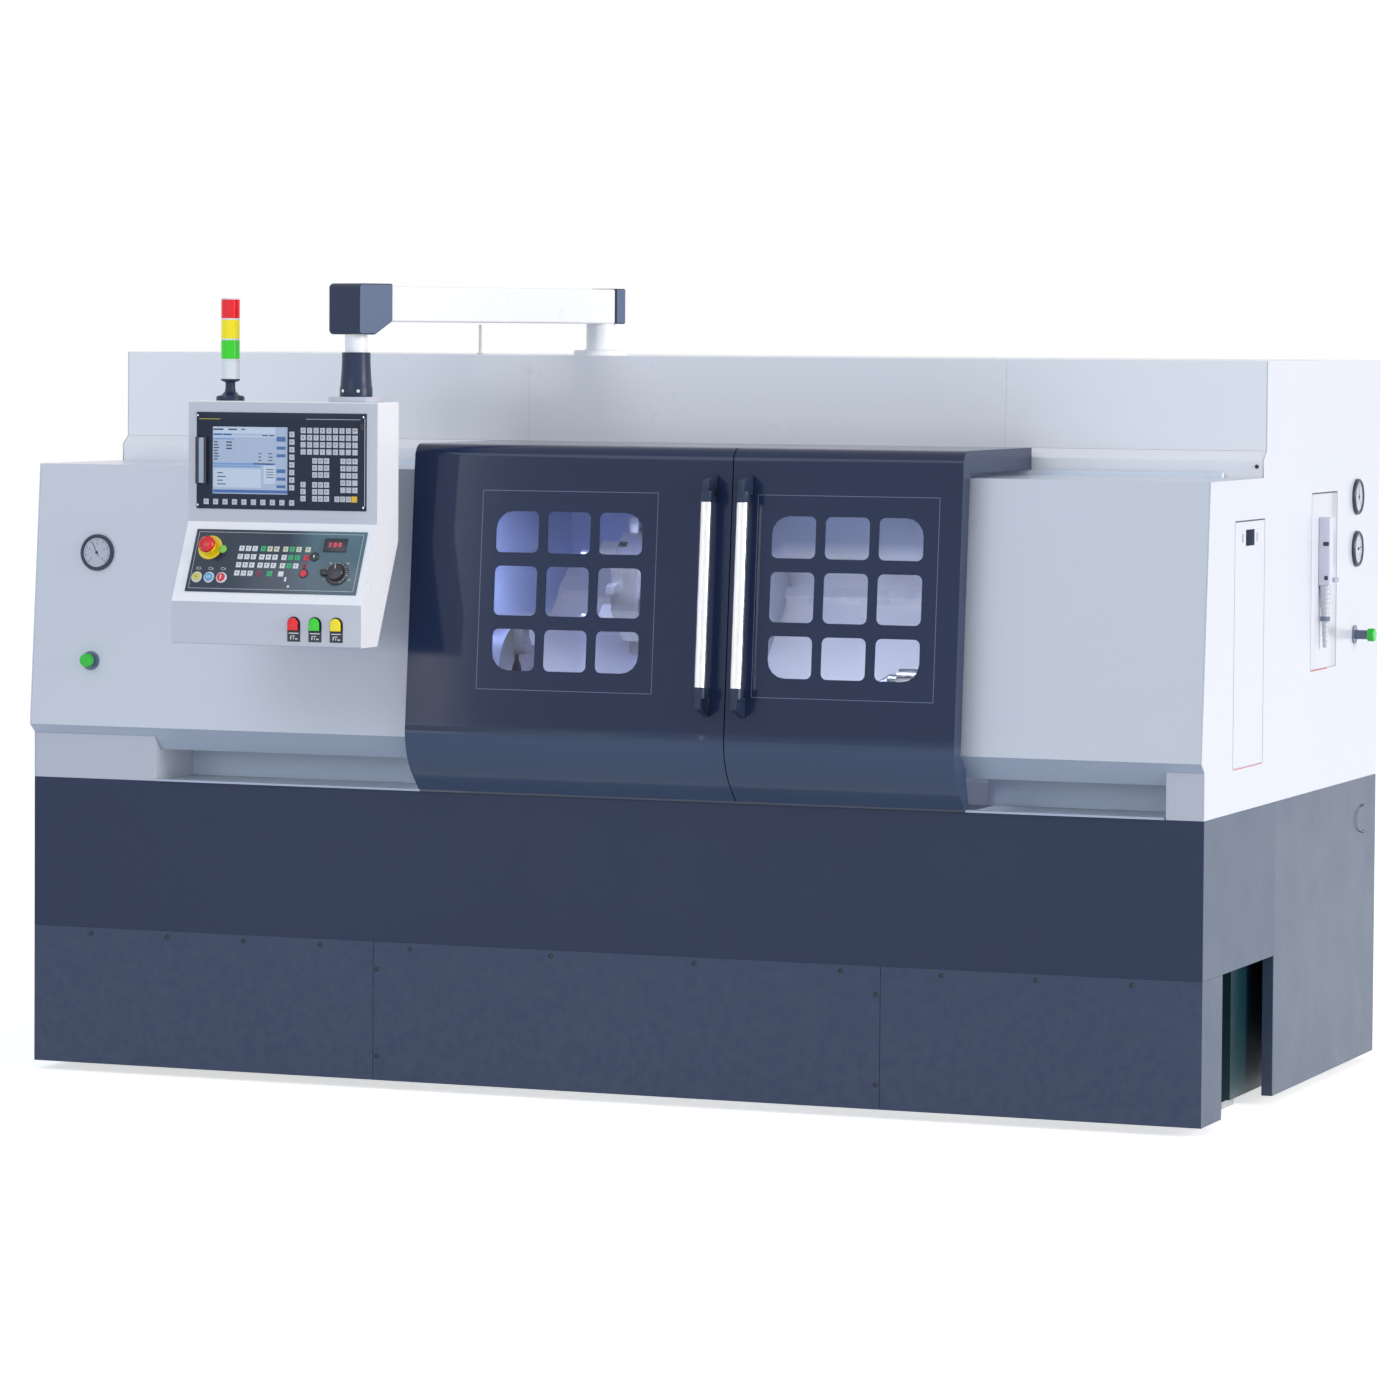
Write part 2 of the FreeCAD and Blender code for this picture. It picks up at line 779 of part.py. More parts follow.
def on_door(thing, x):
    """Stand a piece on the leaning door skin: its own Y points inwards and its Z up the face."""
    base_z = face_foot_z + window_rise
    return place(thing, x, door_face_y(base_z), base_z, (-1, 0, 0), face_lean)


def window_cells():
    """Left edge, low edge, width and height of the nine panes, and which corner is round."""
    rows = ((cell_low, cell_end_height), (cell_low + cell_end_height + cell_gap, cell_mid_height),
            (cell_low + cell_end_height + cell_mid_height + cell_gap * 2, cell_end_height))
    panes = []
    for row, (low, height) in enumerate(rows):
        for column in range(3):
            left = cell_pitch * (column - 1) - cell_width / 2
            panes.append((left, low, cell_width, height, row, column))
    return panes


def pane_cutter(name, left, low, width, height, radii):
    """A block through the panel whose four corners are runs of short sides, each to its own radius."""
    right = left + width
    high = low + height
    outline = []
    for index, (x, z, out_x, out_z) in enumerate((
            (right, high, 1, 1), (left, high, -1, 1), (left, low, -1, -1), (right, low, 1, -1))):
        for step in range(corner_sides + 1):
            turn = math.radians(90 * (index + step / corner_sides))
            outline.append((x - radii[index] * (out_x - round(math.cos(turn), 6)),
                            z - radii[index] * (out_z - round(math.sin(turn), 6))))
    body = new_body(name)
    pad(body, draw(body, "XZ_Plane", name + "_outline", [outline]), (door_wall + 1) * 2, both_ways=True)
    return body


def make_window(side, centre_x):
    plate = box("window_plate_" + side, (-window_width / 2 + window_fit, 0, window_fit),
                (window_width / 2 - window_fit, door_wall, window_height - window_fit))
    holes = []
    for left, low, width, height, row, column in window_cells():
        radii = [cell_corner_round if (row, column) == spot else cell_round
                 for spot in ((2, 2), (2, 0), (0, 0), (0, 2))]
        holes.append(pane_cutter("pane_%s_%d_%d" % (side, row, column), left, low, width, height,
                                 radii))
    keep("window_panel_" + side, on_door(cut("window_panel_" + side, plate, holes), centre_x))
    glass = box("window_glass_" + side,
                (-window_width / 2 - glass_margin, door_wall + seam, -glass_margin),
                (window_width / 2 + glass_margin, door_wall + seam + glass_thickness,
                 window_height + glass_margin))
    keep("window_glass_" + side, on_door(group("window_glass_group_" + side, [glass]), centre_x))


def make_door(side, start, end, centre_x):
    skin = door_shell("door_" + side, start, end)
    opening = on_door(group("window_opening_" + side, [
        box("window_cutter_" + side, (-window_width / 2, -glass_margin, 0),
            (window_width / 2, glass_margin, window_height))]), centre_x)
    keep("door_" + side, cut("door_" + side, skin, [opening]))
    make_window(side, centre_x)


handle_radius = cell("handle_radius", 16)
handle_length = cell("handle_length", 500)
handle_stand = cell("handle_stand", 54)
handle_inset = cell("handle_inset", 50)
handle_low = cell("handle_low", 12)
bracket_length = cell("bracket_length", 48)
bracket_width = cell("bracket_width", 34)
bracket_foot = cell("bracket_foot", 40)
bracket_socket = cell("bracket_socket", 14)


def make_handle(side, centre_x):
    """A round grab tube between two cast brackets, in the frame of the door face."""
    low = handle_low
    high = handle_low + handle_length
    stand = -handle_stand
    outer = stand - bracket_width / 2
    tube = cylinder("handle_tube_" + side, (0, stand, low), handle_radius, handle_length)
    brackets = []
    for end, reach in ((low, -1), (high, 1)):
        tip = end + bracket_length * reach
        foot = tip + bracket_foot * reach * 0.5
        bracket = new_body("handle_bracket_%s_%s" % (side, "low" if reach < 0 else "high"))
        sketch = draw(bracket, "YZ_Plane", bracket.Name + "_side", [[
            (outer, end), (outer, tip), (-seam, foot), (-seam, end + bracket_socket * reach),
            (stand + bracket_width / 2, end + bracket_socket * reach),
            (stand + bracket_width / 2, end)]])
        pad(bracket, sketch, bracket_width, both_ways=True)
        brackets.append(bracket)
    assembly = group("handle_" + side, [tube] + brackets)
    keep("handle_" + side, on_door(assembly, centre_x))


def make_doors():
    make_door("left", -door_left_edge, door_seam - door_gap / 2, -window_left_centre)
    make_door("right", door_seam + door_gap / 2, door_right_edge, window_right_centre)
    make_handle("left", door_seam - handle_inset)
    make_handle("right", door_seam + handle_inset)


def make_door_rails():
    start = -half + toe_block_left + rail_end_gap
    end = half - toe_block_right - rail_end_gap
    upper = box("upper_strip", (start, door_rear_y - strip_width, hood_z),
                (end, door_rear_y, skirt_z - strip_gap))
    lower = box("lower_strip", (start, lip_y + low_strip_inset, base_top),
                (end, lip_y + low_strip_inset + low_strip_width, lip_z - strip_gap))
    keep("door_rails", group("door_rails", [upper, lower]))


# ---------------------------------------------------------------- working chamber

wall_left = cell("wall_left", 560)
wall_right = cell("wall_right", 1085)
chamber_back = cell("chamber_back", 226)
chamber_top_gap = cell("chamber_top_gap", 8)
chamber_clear = cell("chamber_clear", 2)
nose_hole_radius = cell("nose_hole_radius", 95)
chute_foot_in = cell("chute_foot_in", 30)
chute_drop = cell("chute_drop", 4)


def chamber_outline():
    """Cross-section of the chamber between the hood, the deck and the slanted bed."""
    clear = chamber_clear
    low = base_top + clear
    top = hood_z - chamber_top_gap
    shift = sheet_wall + clear
    lean_back = (top - face_foot_z) * lean_step
    return [
        (deck_back + shift, low), (deck_back + shift, toe_z + shift),
        (front + toe_slope + shift, toe_z + shift), (face_foot_y + shift * 2, face_foot_z + shift),
        (face_foot_y + shift * 2 + lean_back, top), (chamber_back, top),
        (chamber_back, slope_z(chamber_back) + clear), (slope_y(low) - clear, low)]


def make_chamber_walls():
    left = extruded("chamber_left", chamber_outline(), -wall_left, -wall_left + sheet_wall,
                    circles=[(spindle_y, spindle_height, nose_hole_radius)])
    right = extruded("chamber_right", chamber_outline(), wall_right, wall_right + sheet_wall)
    top = hood_z - chamber_top_gap
    rear = chamber_back + seam
    foot = slope_z(rear) + chamber_clear
    rear_wall = extruded("chamber_rear", [
        (ledge_y + sheet_wall + seam, top + seam), (rear, top + seam), (rear, foot + sheet_wall),
        (rear + sheet_wall, foot + sheet_wall), (rear + sheet_wall, top + seam + sheet_wall),
        (ledge_y + sheet_wall + seam, top + seam + sheet_wall)],
        -wall_left, wall_right + sheet_wall)
    keep("chamber_walls", group("chamber_walls", [left, right, rear_wall]))


def make_chip_chute():
    body = new_body("chip_chute")
    start = -wall_left + sheet_wall + seam
    end = wall_right - seam
    top = base_top - sheet_wall - seam
    rear = bed_front - seam
    rear_top = bed_knee - chute_drop
    outline = draw(body, "YZ_Plane", "chute_outline", [[
        (deck_back + seam, top), (rear, rear_top), (rear, kick_top),
        (deck_back + chute_foot_in, kick_top)]], offset=start)
    pad(body, outline, end - start)
    mid = middle(start, end)
    mid_y = middle(deck_back, rear)
    shelled(body, [(mid, middle(deck_back + seam, rear), middle(top, rear_top)),
                   (mid, mid_y, kick_top)], sheet_wall)
    keep("chip_chute", body)


# ---------------------------------------------------------------- headstock, spindle and chuck

head_left = cell("head_left", 1180)
head_right = cell("head_right", 563)
head_front = cell("head_front", 170)
head_rise = cell("head_rise", 200)
head_drop = cell("head_drop", 180)
head_shoulder = cell("head_shoulder", 100)
head_back = cell("head_back", 570)
head_round = cell("head_round", 20)
barrel_radius = cell("barrel_radius", 70)
bearing_play = cell("bearing_play", 0.05)
barrel_left = cell("barrel_left", 1240)
nose_left = cell("nose_left", 556)
nose_radius = cell("nose_radius", 82.5)
nose_length = cell("nose_length", 26)
bar_radius = cell("bar_radius", 31)
chuck_radius = cell("chuck_radius", 127)
chuck_length = cell("chuck_length", 100)
chuck_bore = cell("chuck_bore", 34)
jaw_slot_width = cell("jaw_slot_width", 28)
jaw_slot_depth = cell("jaw_slot_depth", 20)
jaw_play = cell("jaw_play", 0.1)
jaw_width = cell("jaw_width", 42)
jaw_height = cell("jaw_height", 48)
jaw_inner = cell("jaw_inner", 50)
jaw_length = cell("jaw_length", 72)
jaw_step = cell("jaw_step", 24)
jaw_step_height = cell("jaw_step_height", 28)

chuck_back = -nose_left + nose_length
chuck_face = chuck_back + chuck_length


def along_spindle(thing, x, turn=0):
    """Lay a turned piece on the spindle axis: its own Z points along +X."""
    thing.Placement = FreeCAD.Placement(
        FreeCAD.Vector(0, 0, 0),
        FreeCAD.Rotation(FreeCAD.Vector(1, 0, 0), turn)
        * FreeCAD.Rotation(FreeCAD.Vector(0, 1, 0), 90))
    for letter, value in zip("xyz", (x, spindle_y, spindle_height)):
        bind(thing, "Placement.Base.%s" % letter, value)
    return thing


def make_headstock():
    body = new_body("headstock")
    y = spindle_y
    z = spindle_height
    foot_y = bed_front + seam * 4
    foot_back = y + head_back
    low_corner = (y - head_front, z - head_drop)
    high_corner = (y - head_front, z + head_rise - head_shoulder)
    shoulder = (y - head_front + head_shoulder, z + head_rise)
    heel = (y + head_front, z + head_rise)
    outline = draw(body, "YZ_Plane", "headstock_outline", [[
        (foot_y, slope_z(foot_y) + seam), low_corner, high_corner, shoulder, heel,
        (foot_back, slope_z(foot_back) + seam)]],
        [(y, z, barrel_radius + bearing_play)], offset=-head_left)
    pad(body, outline, head_left - head_right)
    rounded(body, "x", [low_corner, high_corner, shoulder, heel], head_round)
    keep("headstock", body)


def make_spindle():
    body = turned("spindle", [
        (bar_radius, 0), (barrel_radius, 0), (barrel_radius, barrel_left - nose_left),
        (nose_radius, barrel_left - nose_left),
        (nose_radius, barrel_left - nose_left + nose_length),
        (bar_radius, barrel_left - nose_left + nose_length)])
    keep("spindle", along_spindle(body, -barrel_left))


def make_chuck():
    body = turned("chuck_body", [
        (chuck_bore, 0), (chuck_radius, 0), (chuck_radius, chuck_length), (chuck_bore, chuck_length)])
    slot = draw(body, "XY_Plane", "jaw_slot", [[
        (chuck_bore - 5, -jaw_slot_width / 2), (chuck_radius + 5, -jaw_slot_width / 2),
        (chuck_radius + 5, jaw_slot_width / 2), (chuck_bore - 5, jaw_slot_width / 2)]],
        offset=chuck_length)
    doc.recompute()
    groove = pocket(body, slot, jaw_slot_depth)
    repeat = body.newObject("PartDesign::PolarPattern", "jaw_slots")
    repeat.Originals = [groove]
    repeat.Axis = (origin_plane(body, "Z_Axis"), [""])
    repeat.Angle = 360.0
    repeat.Occurrences = 3
    body.Tip = repeat
    keep("chuck_body", along_spindle(body, chuck_back, 180))


def make_jaw(index):
    """One soft jaw: a tenon in the chuck's slot and a stepped block in front of its face."""
    name = "jaw_%d" % (index + 1)
    body = new_body(name)
    inner = jaw_inner
    outer = jaw_inner + jaw_length
    tenon = draw(body, "XZ_Plane", name + "_tenon", [[
        (inner + jaw_step / 2, -jaw_slot_depth + jaw_play), (outer, -jaw_slot_depth + jaw_play),
        (outer, jaw_play), (inner + jaw_step / 2, jaw_play)]])
    pad(body, tenon, jaw_slot_width - jaw_play * 2, both_ways=True)
    block = draw(body, "XZ_Plane", name + "_block", [[
        (inner, jaw_play), (outer, jaw_play), (outer, jaw_step_height),
        (inner + jaw_step, jaw_step_height), (inner + jaw_step, jaw_height), (inner, jaw_height)]])
    pad(body, block, jaw_width, both_ways=True)
    keep(name, along_spindle(body, chuck_face, 180 + 120 * index))


# ---------------------------------------------------------------- slides, turret and tailstock

rail_width = cell("rail_width", 35)
rail_height = cell("rail_height", 30)
rail_play = cell("rail_play", 0.1)
slide_rail_left = cell("slide_rail_left", 545)
slide_rail_right = cell("slide_rail_right", 1075)
tail_rail_low = cell("tail_rail_low", 160)
tail_rail_high = cell("tail_rail_high", 30)
saddle_rail_low = cell("saddle_rail_low", 150)
saddle_rail_high = cell("saddle_rail_high", 560)
saddle_left = cell("saddle_left", 105)
saddle_width = cell("saddle_width", 250)
saddle_margin = cell("saddle_margin", 45)
saddle_top = cell("saddle_top", 165)
shoe_gap = cell("shoe_gap", 6)
slide_thickness = cell("slide_thickness", 55)
slide_front = cell("slide_front", 110)
slide_back = cell("slide_back", 230)
turret_home = cell("turret_home", 330)
turret_half = cell("turret_half", 100)
disc_left = cell("disc_left", 185)
disc_thickness = cell("disc_thickness", 80)
disc_play = cell("disc_play", 0.2)
disc_flat = cell("disc_flat", 150)
disc_shaft_radius = cell("disc_shaft_radius", 60)
disc_shaft_length = cell("disc_shaft_length", 30)
shaft_play = cell("shaft_play", 0.05)
disc_boss_radius = cell("disc_boss_radius", 55)
disc_boss_height = cell("disc_boss_height", 10)
tool_size = cell("tool_size", 25)
tool_reach = cell("tool_reach", 190)
tool_root = cell("tool_root", 95)
tool_fit = cell("tool_fit", 0.1)
wedge_width = cell("wedge_width", 16)
bar_tool_radius = cell("bar_tool_radius", 16)
bar_tool_length = cell("bar_tool_length", 110)
holder_size = cell("holder_size", 56)
holder_depth = cell("holder_depth", 50)
tail_left = cell("tail_left", 780)
tail_length = cell("tail_length", 230)
tail_half = cell("tail_half", 62)
quill_radius = cell("quill_radius", 40)
quill_nose = cell("quill_nose", 690)
quill_length = cell("quill_length", 300)
centre_radius = cell("centre_radius", 24)
centre_neck = cell("centre_neck", 30)
centre_tip = cell("centre_tip", 42)


def on_slant(thing):
    """Stand a piece in the slanted frame: origin on the spindle axis, Y up the slope."""
    return place(thing, 0, spindle_y, spindle_height, (1, 0, 0), slant)


def make_guide_rails():
    rails = []
    top = -axis_to_bed + rail_height
    for index, y in enumerate((-tail_rail_low, tail_rail_high, saddle_rail_low,
                               saddle_rail_high)):
        rails.append(box("guide_rail_%d" % index,
                         (-slide_rail_left, y - rail_width / 2, -axis_to_bed),
                         (slide_rail_right, y + rail_width / 2, top)))
    keep("guide_rails", on_slant(group("guide_rails", rails)))


def straddled(rail_y):
    """The notch that clears one guide rail, from left to right."""
    reach = rail_width / 2 + rail_play
    top = -axis_to_bed + rail_height + rail_play
    low = -axis_to_bed + shoe_gap
    return [(rail_y - reach, low), (rail_y - reach, top), (rail_y + reach, top),
            (rail_y + reach, low)]


def make_saddle():
    low = -axis_to_bed + shoe_gap
    start = saddle_rail_low - saddle_margin
    end = saddle_rail_high + saddle_margin
    outline = [(start, low)] + straddled(saddle_rail_low) + straddled(saddle_rail_high)
    outline += [(end, low), (end, -saddle_top - 20), (end - 20, -saddle_top),
                (start + 20, -saddle_top), (start, -saddle_top - 20)]
    body = extruded("saddle", outline, -saddle_left, saddle_width - saddle_left)
    keep("saddle", on_slant(body))


def make_cross_slide():
    """Cross slide and turret case in one casting."""
    low = -saddle_top + rail_play
    deck = low + slide_thickness
    start = turret_home - slide_front
    end = turret_home + slide_back
    case_low = turret_home - turret_half
    case_high = turret_home + turret_half
    top = turret_half
    body = extruded("slide_casting", [
        (start, low), (end, low), (end, deck), (case_high + 30, deck), (case_high, deck + 30),
        (case_high, top - 40), (case_high - 40, top), (case_low + 40, top), (case_low, top - 40),
        (case_low, deck), (start, deck)], -saddle_left, saddle_width - saddle_left - 20)
    bore = cylinder("turret_bore", (-saddle_left - 1, turret_home, 0),
                    disc_shaft_radius + shaft_play, disc_shaft_length + 2, "x")
    keep("cross_slide", on_slant(cut("cross_slide", body, [bore])))


def disc_place(body):
    """Lay a piece on the turret's axis: its own Z points along -X."""
    body.Placement = FreeCAD.Placement(
        FreeCAD.Vector(0, 0, 0), FreeCAD.Rotation(FreeCAD.Vector(0, 1, 0), -90))
    home_y = spindle_y + turret_home * cos(slant)
    home_z = spindle_height + turret_home * sin(slant)
    for letter, value in zip("xyz", (disc_thickness - disc_left - disc_play, home_y, home_z)):
        bind(body, "Placement.Base.%s" % letter, value)
    return body


def octagon(flat):
    corner = flat * 0.41421356
    return [(flat, -corner), (flat, corner), (corner, flat), (-corner, flat), (-flat, corner),
            (-flat, -corner), (-corner, -flat), (corner, -flat)]


def make_turret_disc():
    body = new_body("turret_disc")
    face = draw(body, "XY_Plane", "disc_outline", [octagon(disc_flat)])
    pad(body, face, disc_thickness)
    shaft = draw(body, "XY_Plane", "disc_shaft", [], [(0, 0, disc_shaft_radius)])
    pad(body, shaft, disc_shaft_length, backwards=True)
    boss = draw(body, "XY_Plane", "disc_boss", [], [(0, 0, disc_boss_radius)],
                offset=disc_thickness)
    pad(body, boss, disc_boss_height)
    slot_half = tool_size / 2 + tool_fit
    depth = tool_size + tool_fit
    slot = draw(body, "XY_Plane", "tool_slot", [[
        (tool_root, -slot_half), (disc_flat + 20, -slot_half),
        (disc_flat + 20, slot_half + wedge_width), (tool_root, slot_half + wedge_width)]],
        offset=disc_thickness)
    doc.recompute()
    groove = pocket(body, slot, depth)
    repeat = body.newObject("PartDesign::PolarPattern", "tool_slots")
    repeat.Originals = [groove]
    repeat.Axis = (origin_plane(body, "Z_Axis"), [""])
    repeat.Angle = 360.0
    repeat.Occurrences = 8
    body.Tip = repeat
    keep("turret_disc", disc_place(body))


def make_turret_tools():
    """Turning tools and boring-bar holders by turns, in the disc's eight slots."""
    tools = []
    top = disc_thickness
    low = disc_thickness - tool_size
    for station in range(8):
        if station % 2 == 0:
            tool = new_body("turning_tool_%d" % station)
            side = draw(tool, "XY_Plane", "turning_shank_%d" % station, [[
                (tool_root + tool_fit, -tool_size / 2), (tool_reach - 18, -tool_size / 2),
                (tool_reach, -tool_size / 2 - 4), (tool_reach - 4, tool_size / 2 - 8),
                (tool_reach - 18, tool_size / 2), (tool_root + tool_fit, tool_size / 2)]],
                offset=low)
            pad(tool, side, tool_size)
            wedge = box("tool_wedge_%d" % station,
                        (tool_root + 8, tool_size / 2, low),
                        (disc_flat - 6, tool_size / 2 + wedge_width, top - 1))
            piece = fuse("tool_%d" % station, [tool, wedge])
        else:
            tenon = box("holder_tenon_%d" % station, (tool_root + tool_fit, -tool_size / 2, low),
                        (disc_flat - 4, tool_size / 2, top + 1))
            block = box("holder_block_%d" % station,
                        (tool_root + tool_fit, -holder_size / 2, top),
                        (tool_root + tool_fit + holder_size, holder_size / 2, top + holder_depth))
            bar = cylinder("boring_bar_%d" % station,
                           (tool_root + tool_fit + holder_size / 2, 0, top + holder_depth - 1),
                           bar_tool_radius, bar_tool_length - holder_depth)
            piece = fuse("tool_%d" % station, [tenon, block, bar])
        turn = FreeCAD.Rotation(FreeCAD.Vector(0, 0, 1), 45 * station)
        piece.Placement = FreeCAD.Placement(FreeCAD.Vector(0, 0, 0), turn)
        tools.append(piece)
    keep("turret_tools", disc_place(group("turret_tools", tools)))


def make_tailstock():
    low = -axis_to_bed + shoe_gap
    start = -tail_rail_low - saddle_margin + 5
    end = tail_rail_high + saddle_margin
    shoulder = -tail_half * 2.6
    outline = [(start, low)] + straddled(-tail_rail_low) + straddled(tail_rail_high)
    outline += [(end, low), (end, shoulder), (tail_half, -tail_half), (tail_half, tail_half * 0.5),
                (tail_half * 0.5, tail_half), (-tail_half * 0.5, tail_half),
                (-tail_half, tail_half * 0.5), (-tail_half, -tail_half), (start, shoulder)]
    body = extruded("tailstock", outline, tail_left, tail_left + tail_length,
                    circles=[(0, 0, quill_radius + bearing_play)])
    keep("tailstock", on_slant(body))


def make_quill():
    body = turned("quill", [
        (0, 0), (quill_radius, 0), (quill_radius, quill_length), (centre_radius, quill_length),
        (centre_radius, quill_length + centre_neck), (0, quill_length + centre_neck + centre_tip)])
    body.Placement = FreeCAD.Placement(
        FreeCAD.Vector(0, 0, 0), FreeCAD.Rotation(FreeCAD.Vector(0, 1, 0), -90))
    for letter, value in zip("xyz", (quill_nose + quill_length, spindle_y, spindle_height)):
        bind(body, "Placement.Base.%s" % letter, value)
    keep("quill", body)


# ---------------------------------------------------------------- fittings on the covers

gauge_radius = cell("gauge_radius", 50)
gauge_depth = cell("gauge_depth", 10)
gauge_bezel = cell("gauge_bezel", 7)
gauge_dish = cell("gauge_dish", 3)
gauge_left_x = cell("gauge_left_x", 1486)
gauge_left_rise = cell("gauge_left_rise", 474)
gauge_right_y = cell("gauge_right_y", 552)
gauge_right_high = cell("gauge_right_high", 791)
gauge_right_low = cell("gauge_right_low", 646)
knob_radius = cell("knob_radius", 18)
knob_crown = cell("knob_crown", 3)
knob_length = cell("knob_length", 20)
knob_play = cell("knob_play", 0.05)
stem_radius = cell("stem_radius", 13)
stem_flange_radius = cell("stem_flange_radius", 26)
stem_flange = cell("stem_flange", 4)
spigot_radius = cell("spigot_radius", 7)
spigot_length = cell("spigot_length", 12)
stem_left_length = cell("stem_left_length", 16)
stem_right_length = cell("stem_right_length", 40)
knob_left_x = cell("knob_left_x", 1494)
knob_left_rise = cell("knob_left_rise", 178)
knob_right_y = cell("knob_right_y", 541)
knob_right_rise = cell("knob_right_rise", 407)


def on_hood_face(thing, x, rise):
    """Fix a turned piece to the leaning hood face: its own Z points out of the face."""
    return place(thing, x, face_foot_y + rise * lean_step, face_foot_z + rise, (1, 0, 0),
                 90 - face_lean)


def on_right_wall(thing, y, rise):
    """Fix a turned piece to the right side wall: its own Z points along +X."""
    return place(thing, half, y, base_top + rise, (0, 1, 0), quarter_turn)


def gauge(name):
    """A shallow round case, dished in front for its dial."""
    return stacked(name, wide_sides, [(nothing, gauge_depth, gauge_radius)],
                   (gauge_depth - gauge_dish, gauge_depth + 1, gauge_radius - gauge_bezel))


def make_gauges():
    gauges = [
        on_hood_face(gauge("gauge_hood"), -gauge_left_x, gauge_left_rise),
        on_right_wall(gauge("gauge_side_high"), gauge_right_y, gauge_right_high),
        on_right_wall(gauge("gauge_side_low"), gauge_right_y, gauge_right_low)]
    keep("gauges", group("gauges", gauges))


def regulator_stem(name, length):
    steps = stacked(name + "_steps", round_sides, [
        (nothing, stem_flange, stem_flange_radius), (stem_flange, length, stem_radius)])
    spigot = cylinder(name + "_spigot", (0, 0, length - 1), spigot_radius, spigot_length + 1)
    return fuse(name, [steps, spigot])


def regulator_knob(name, length):
    """A knob in front of its stem, with a blind bore for the spigot."""
    low = length + knob_play * 6
    grip = stacked(name + "_grip", round_sides, [
        (low, length + knob_length - knob_crown, knob_radius),
        (length + knob_length - knob_crown, length + knob_length, knob_radius - knob_crown)])
    well = cylinder(name + "_well", (0, 0, low - 1), spigot_radius + knob_play, spigot_length + 1)
    return cut(name + "_bored", grip, [well])


def make_regulators():
    left_stem = on_hood_face(regulator_stem("stem_left", stem_left_length), -knob_left_x,
                             knob_left_rise)
    right_stem = on_right_wall(regulator_stem("stem_right", stem_right_length), knob_right_y,
                               knob_right_rise)
    keep("regulator_stems", group("regulator_stems", [left_stem, right_stem]))
    keep("regulator_knob_left", on_hood_face(
        regulator_knob("regulator_knob_left", stem_left_length), -knob_left_x, knob_left_rise))
    keep("regulator_knob_right", on_right_wall(
        regulator_knob("regulator_knob_right", stem_right_length), knob_right_y, knob_right_rise))


def make_side_hatch():
    gap = hatch_gap
    plate = box("hatch_plate", (half - sheet_wall, hatch_y + gap, hatch_z + gap),
                (half, hatch_y + hatch_width - gap, hatch_z + hatch_height - gap))
    latch_y = hatch_y + hatch_width / 2
    latch_z = hatch_z + hatch_height - 43
    latch = box("hatch_latch", (half - sheet_wall - 12, latch_y - 42, latch_z - 22),
                (half - 1, latch_y + 42, latch_z + 22))
    keep("side_hatch", fuse("side_hatch", [plate, latch]))


pump_width = cell("pump_width", 34)
pump_bevel = cell("pump_bevel", 6)
ring_height = cell("ring_height", 12)
pump_depth = cell("pump_depth", 33)
pump_height = cell("pump_height", 186)
pump_back = cell("pump_back", 166)
pump_rise = cell("pump_rise", 559)
reservoir_length = cell("reservoir_length", 170)


def make_lubricator():
    """Oil lubricator: cast head on its mounting plate, tapered reservoir and a priming knob."""
    gap = hatch_gap
    plate = box("lubricator_plate", (half - sheet_wall, service_y + gap, service_z + gap),
                (half, service_y + service_width - gap, service_z + service_height - gap))
    low_z = base_top + pump_rise
    centre_y = pump_back
    head = rounded_pump("lubricator_head", centre_y, low_z)
    foot = low_z - reservoir_length
    waist = low_z - reservoir_length / 2
    cup = place(stacked("lubricator_cup", round_sides, [
        (foot, waist, pump_depth * 0.3), (waist, low_z, pump_depth * 0.44)]),
        half + pump_depth / 2, centre_y, 0)
    ring = place(stacked("lubricator_ring", round_sides, [
        (waist - ring_height, waist, pump_depth * 0.48)]), half + pump_depth / 2, centre_y, 0)
    knob = box("lubricator_knob", (half + pump_depth / 2 - 9, centre_y + pump_width / 2 - 1,
                                   low_z + 8),
               (half + pump_depth / 2 + 9, centre_y + pump_width / 2 + 22, low_z + 26))
    keep("lubricator", fuse("lubricator", [plate, head, cup, ring, knob]))


def rounded_pump(name, centre_y, low_z):
    """The pump's head: a block whose two outer upright edges are bevelled."""
    side = pump_width / 2
    nose = half + pump_depth
    return standing(name, [
        (half - 1, centre_y - side), (nose - pump_bevel, centre_y - side),
        (nose, centre_y - side + pump_bevel), (nose, centre_y + side - pump_bevel),
        (nose - pump_bevel, centre_y + side), (half - 1, centre_y + side)],
        low_z, low_z + pump_height)


# ---------------------------------------------------------------- boom

post_x = cell("post_x", 256)
post_back = cell("post_back", 641)
post_flange_radius = cell("post_flange_radius", 75)
post_flange = cell("post_flange", 14)
post_radius = cell("post_radius", 40)
beam_rise = cell("beam_rise", 87)
beam_height = cell("beam_height", 95)
beam_width = cell("beam_width", 90)
beam_over = cell("beam_over", 8)
pin_radius = cell("pin_radius", 25)
pin_play = cell("pin_play", 0.05)
pin_length = cell("pin_length", 70)
boom_turn = cell("boom_turn", -110.8)
boom_reach = cell("boom_reach", 945)
elbow_behind = cell("elbow_behind", 80)
elbow_ahead = cell("elbow_ahead", 46)
elbow_width = cell("elbow_width", 116)
elbow_over = cell("elbow_over", 6)
elbow_under = cell("elbow_under", 34)
cap_length = cell("cap_length", 52)
drop_radius = cell("drop_radius", 30)
drop_end_rise = cell("drop_end_rise", 6)
swivel_pin_radius = cell("swivel_pin_radius", 20)
swivel_pin_length = cell("swivel_pin_length", 90)

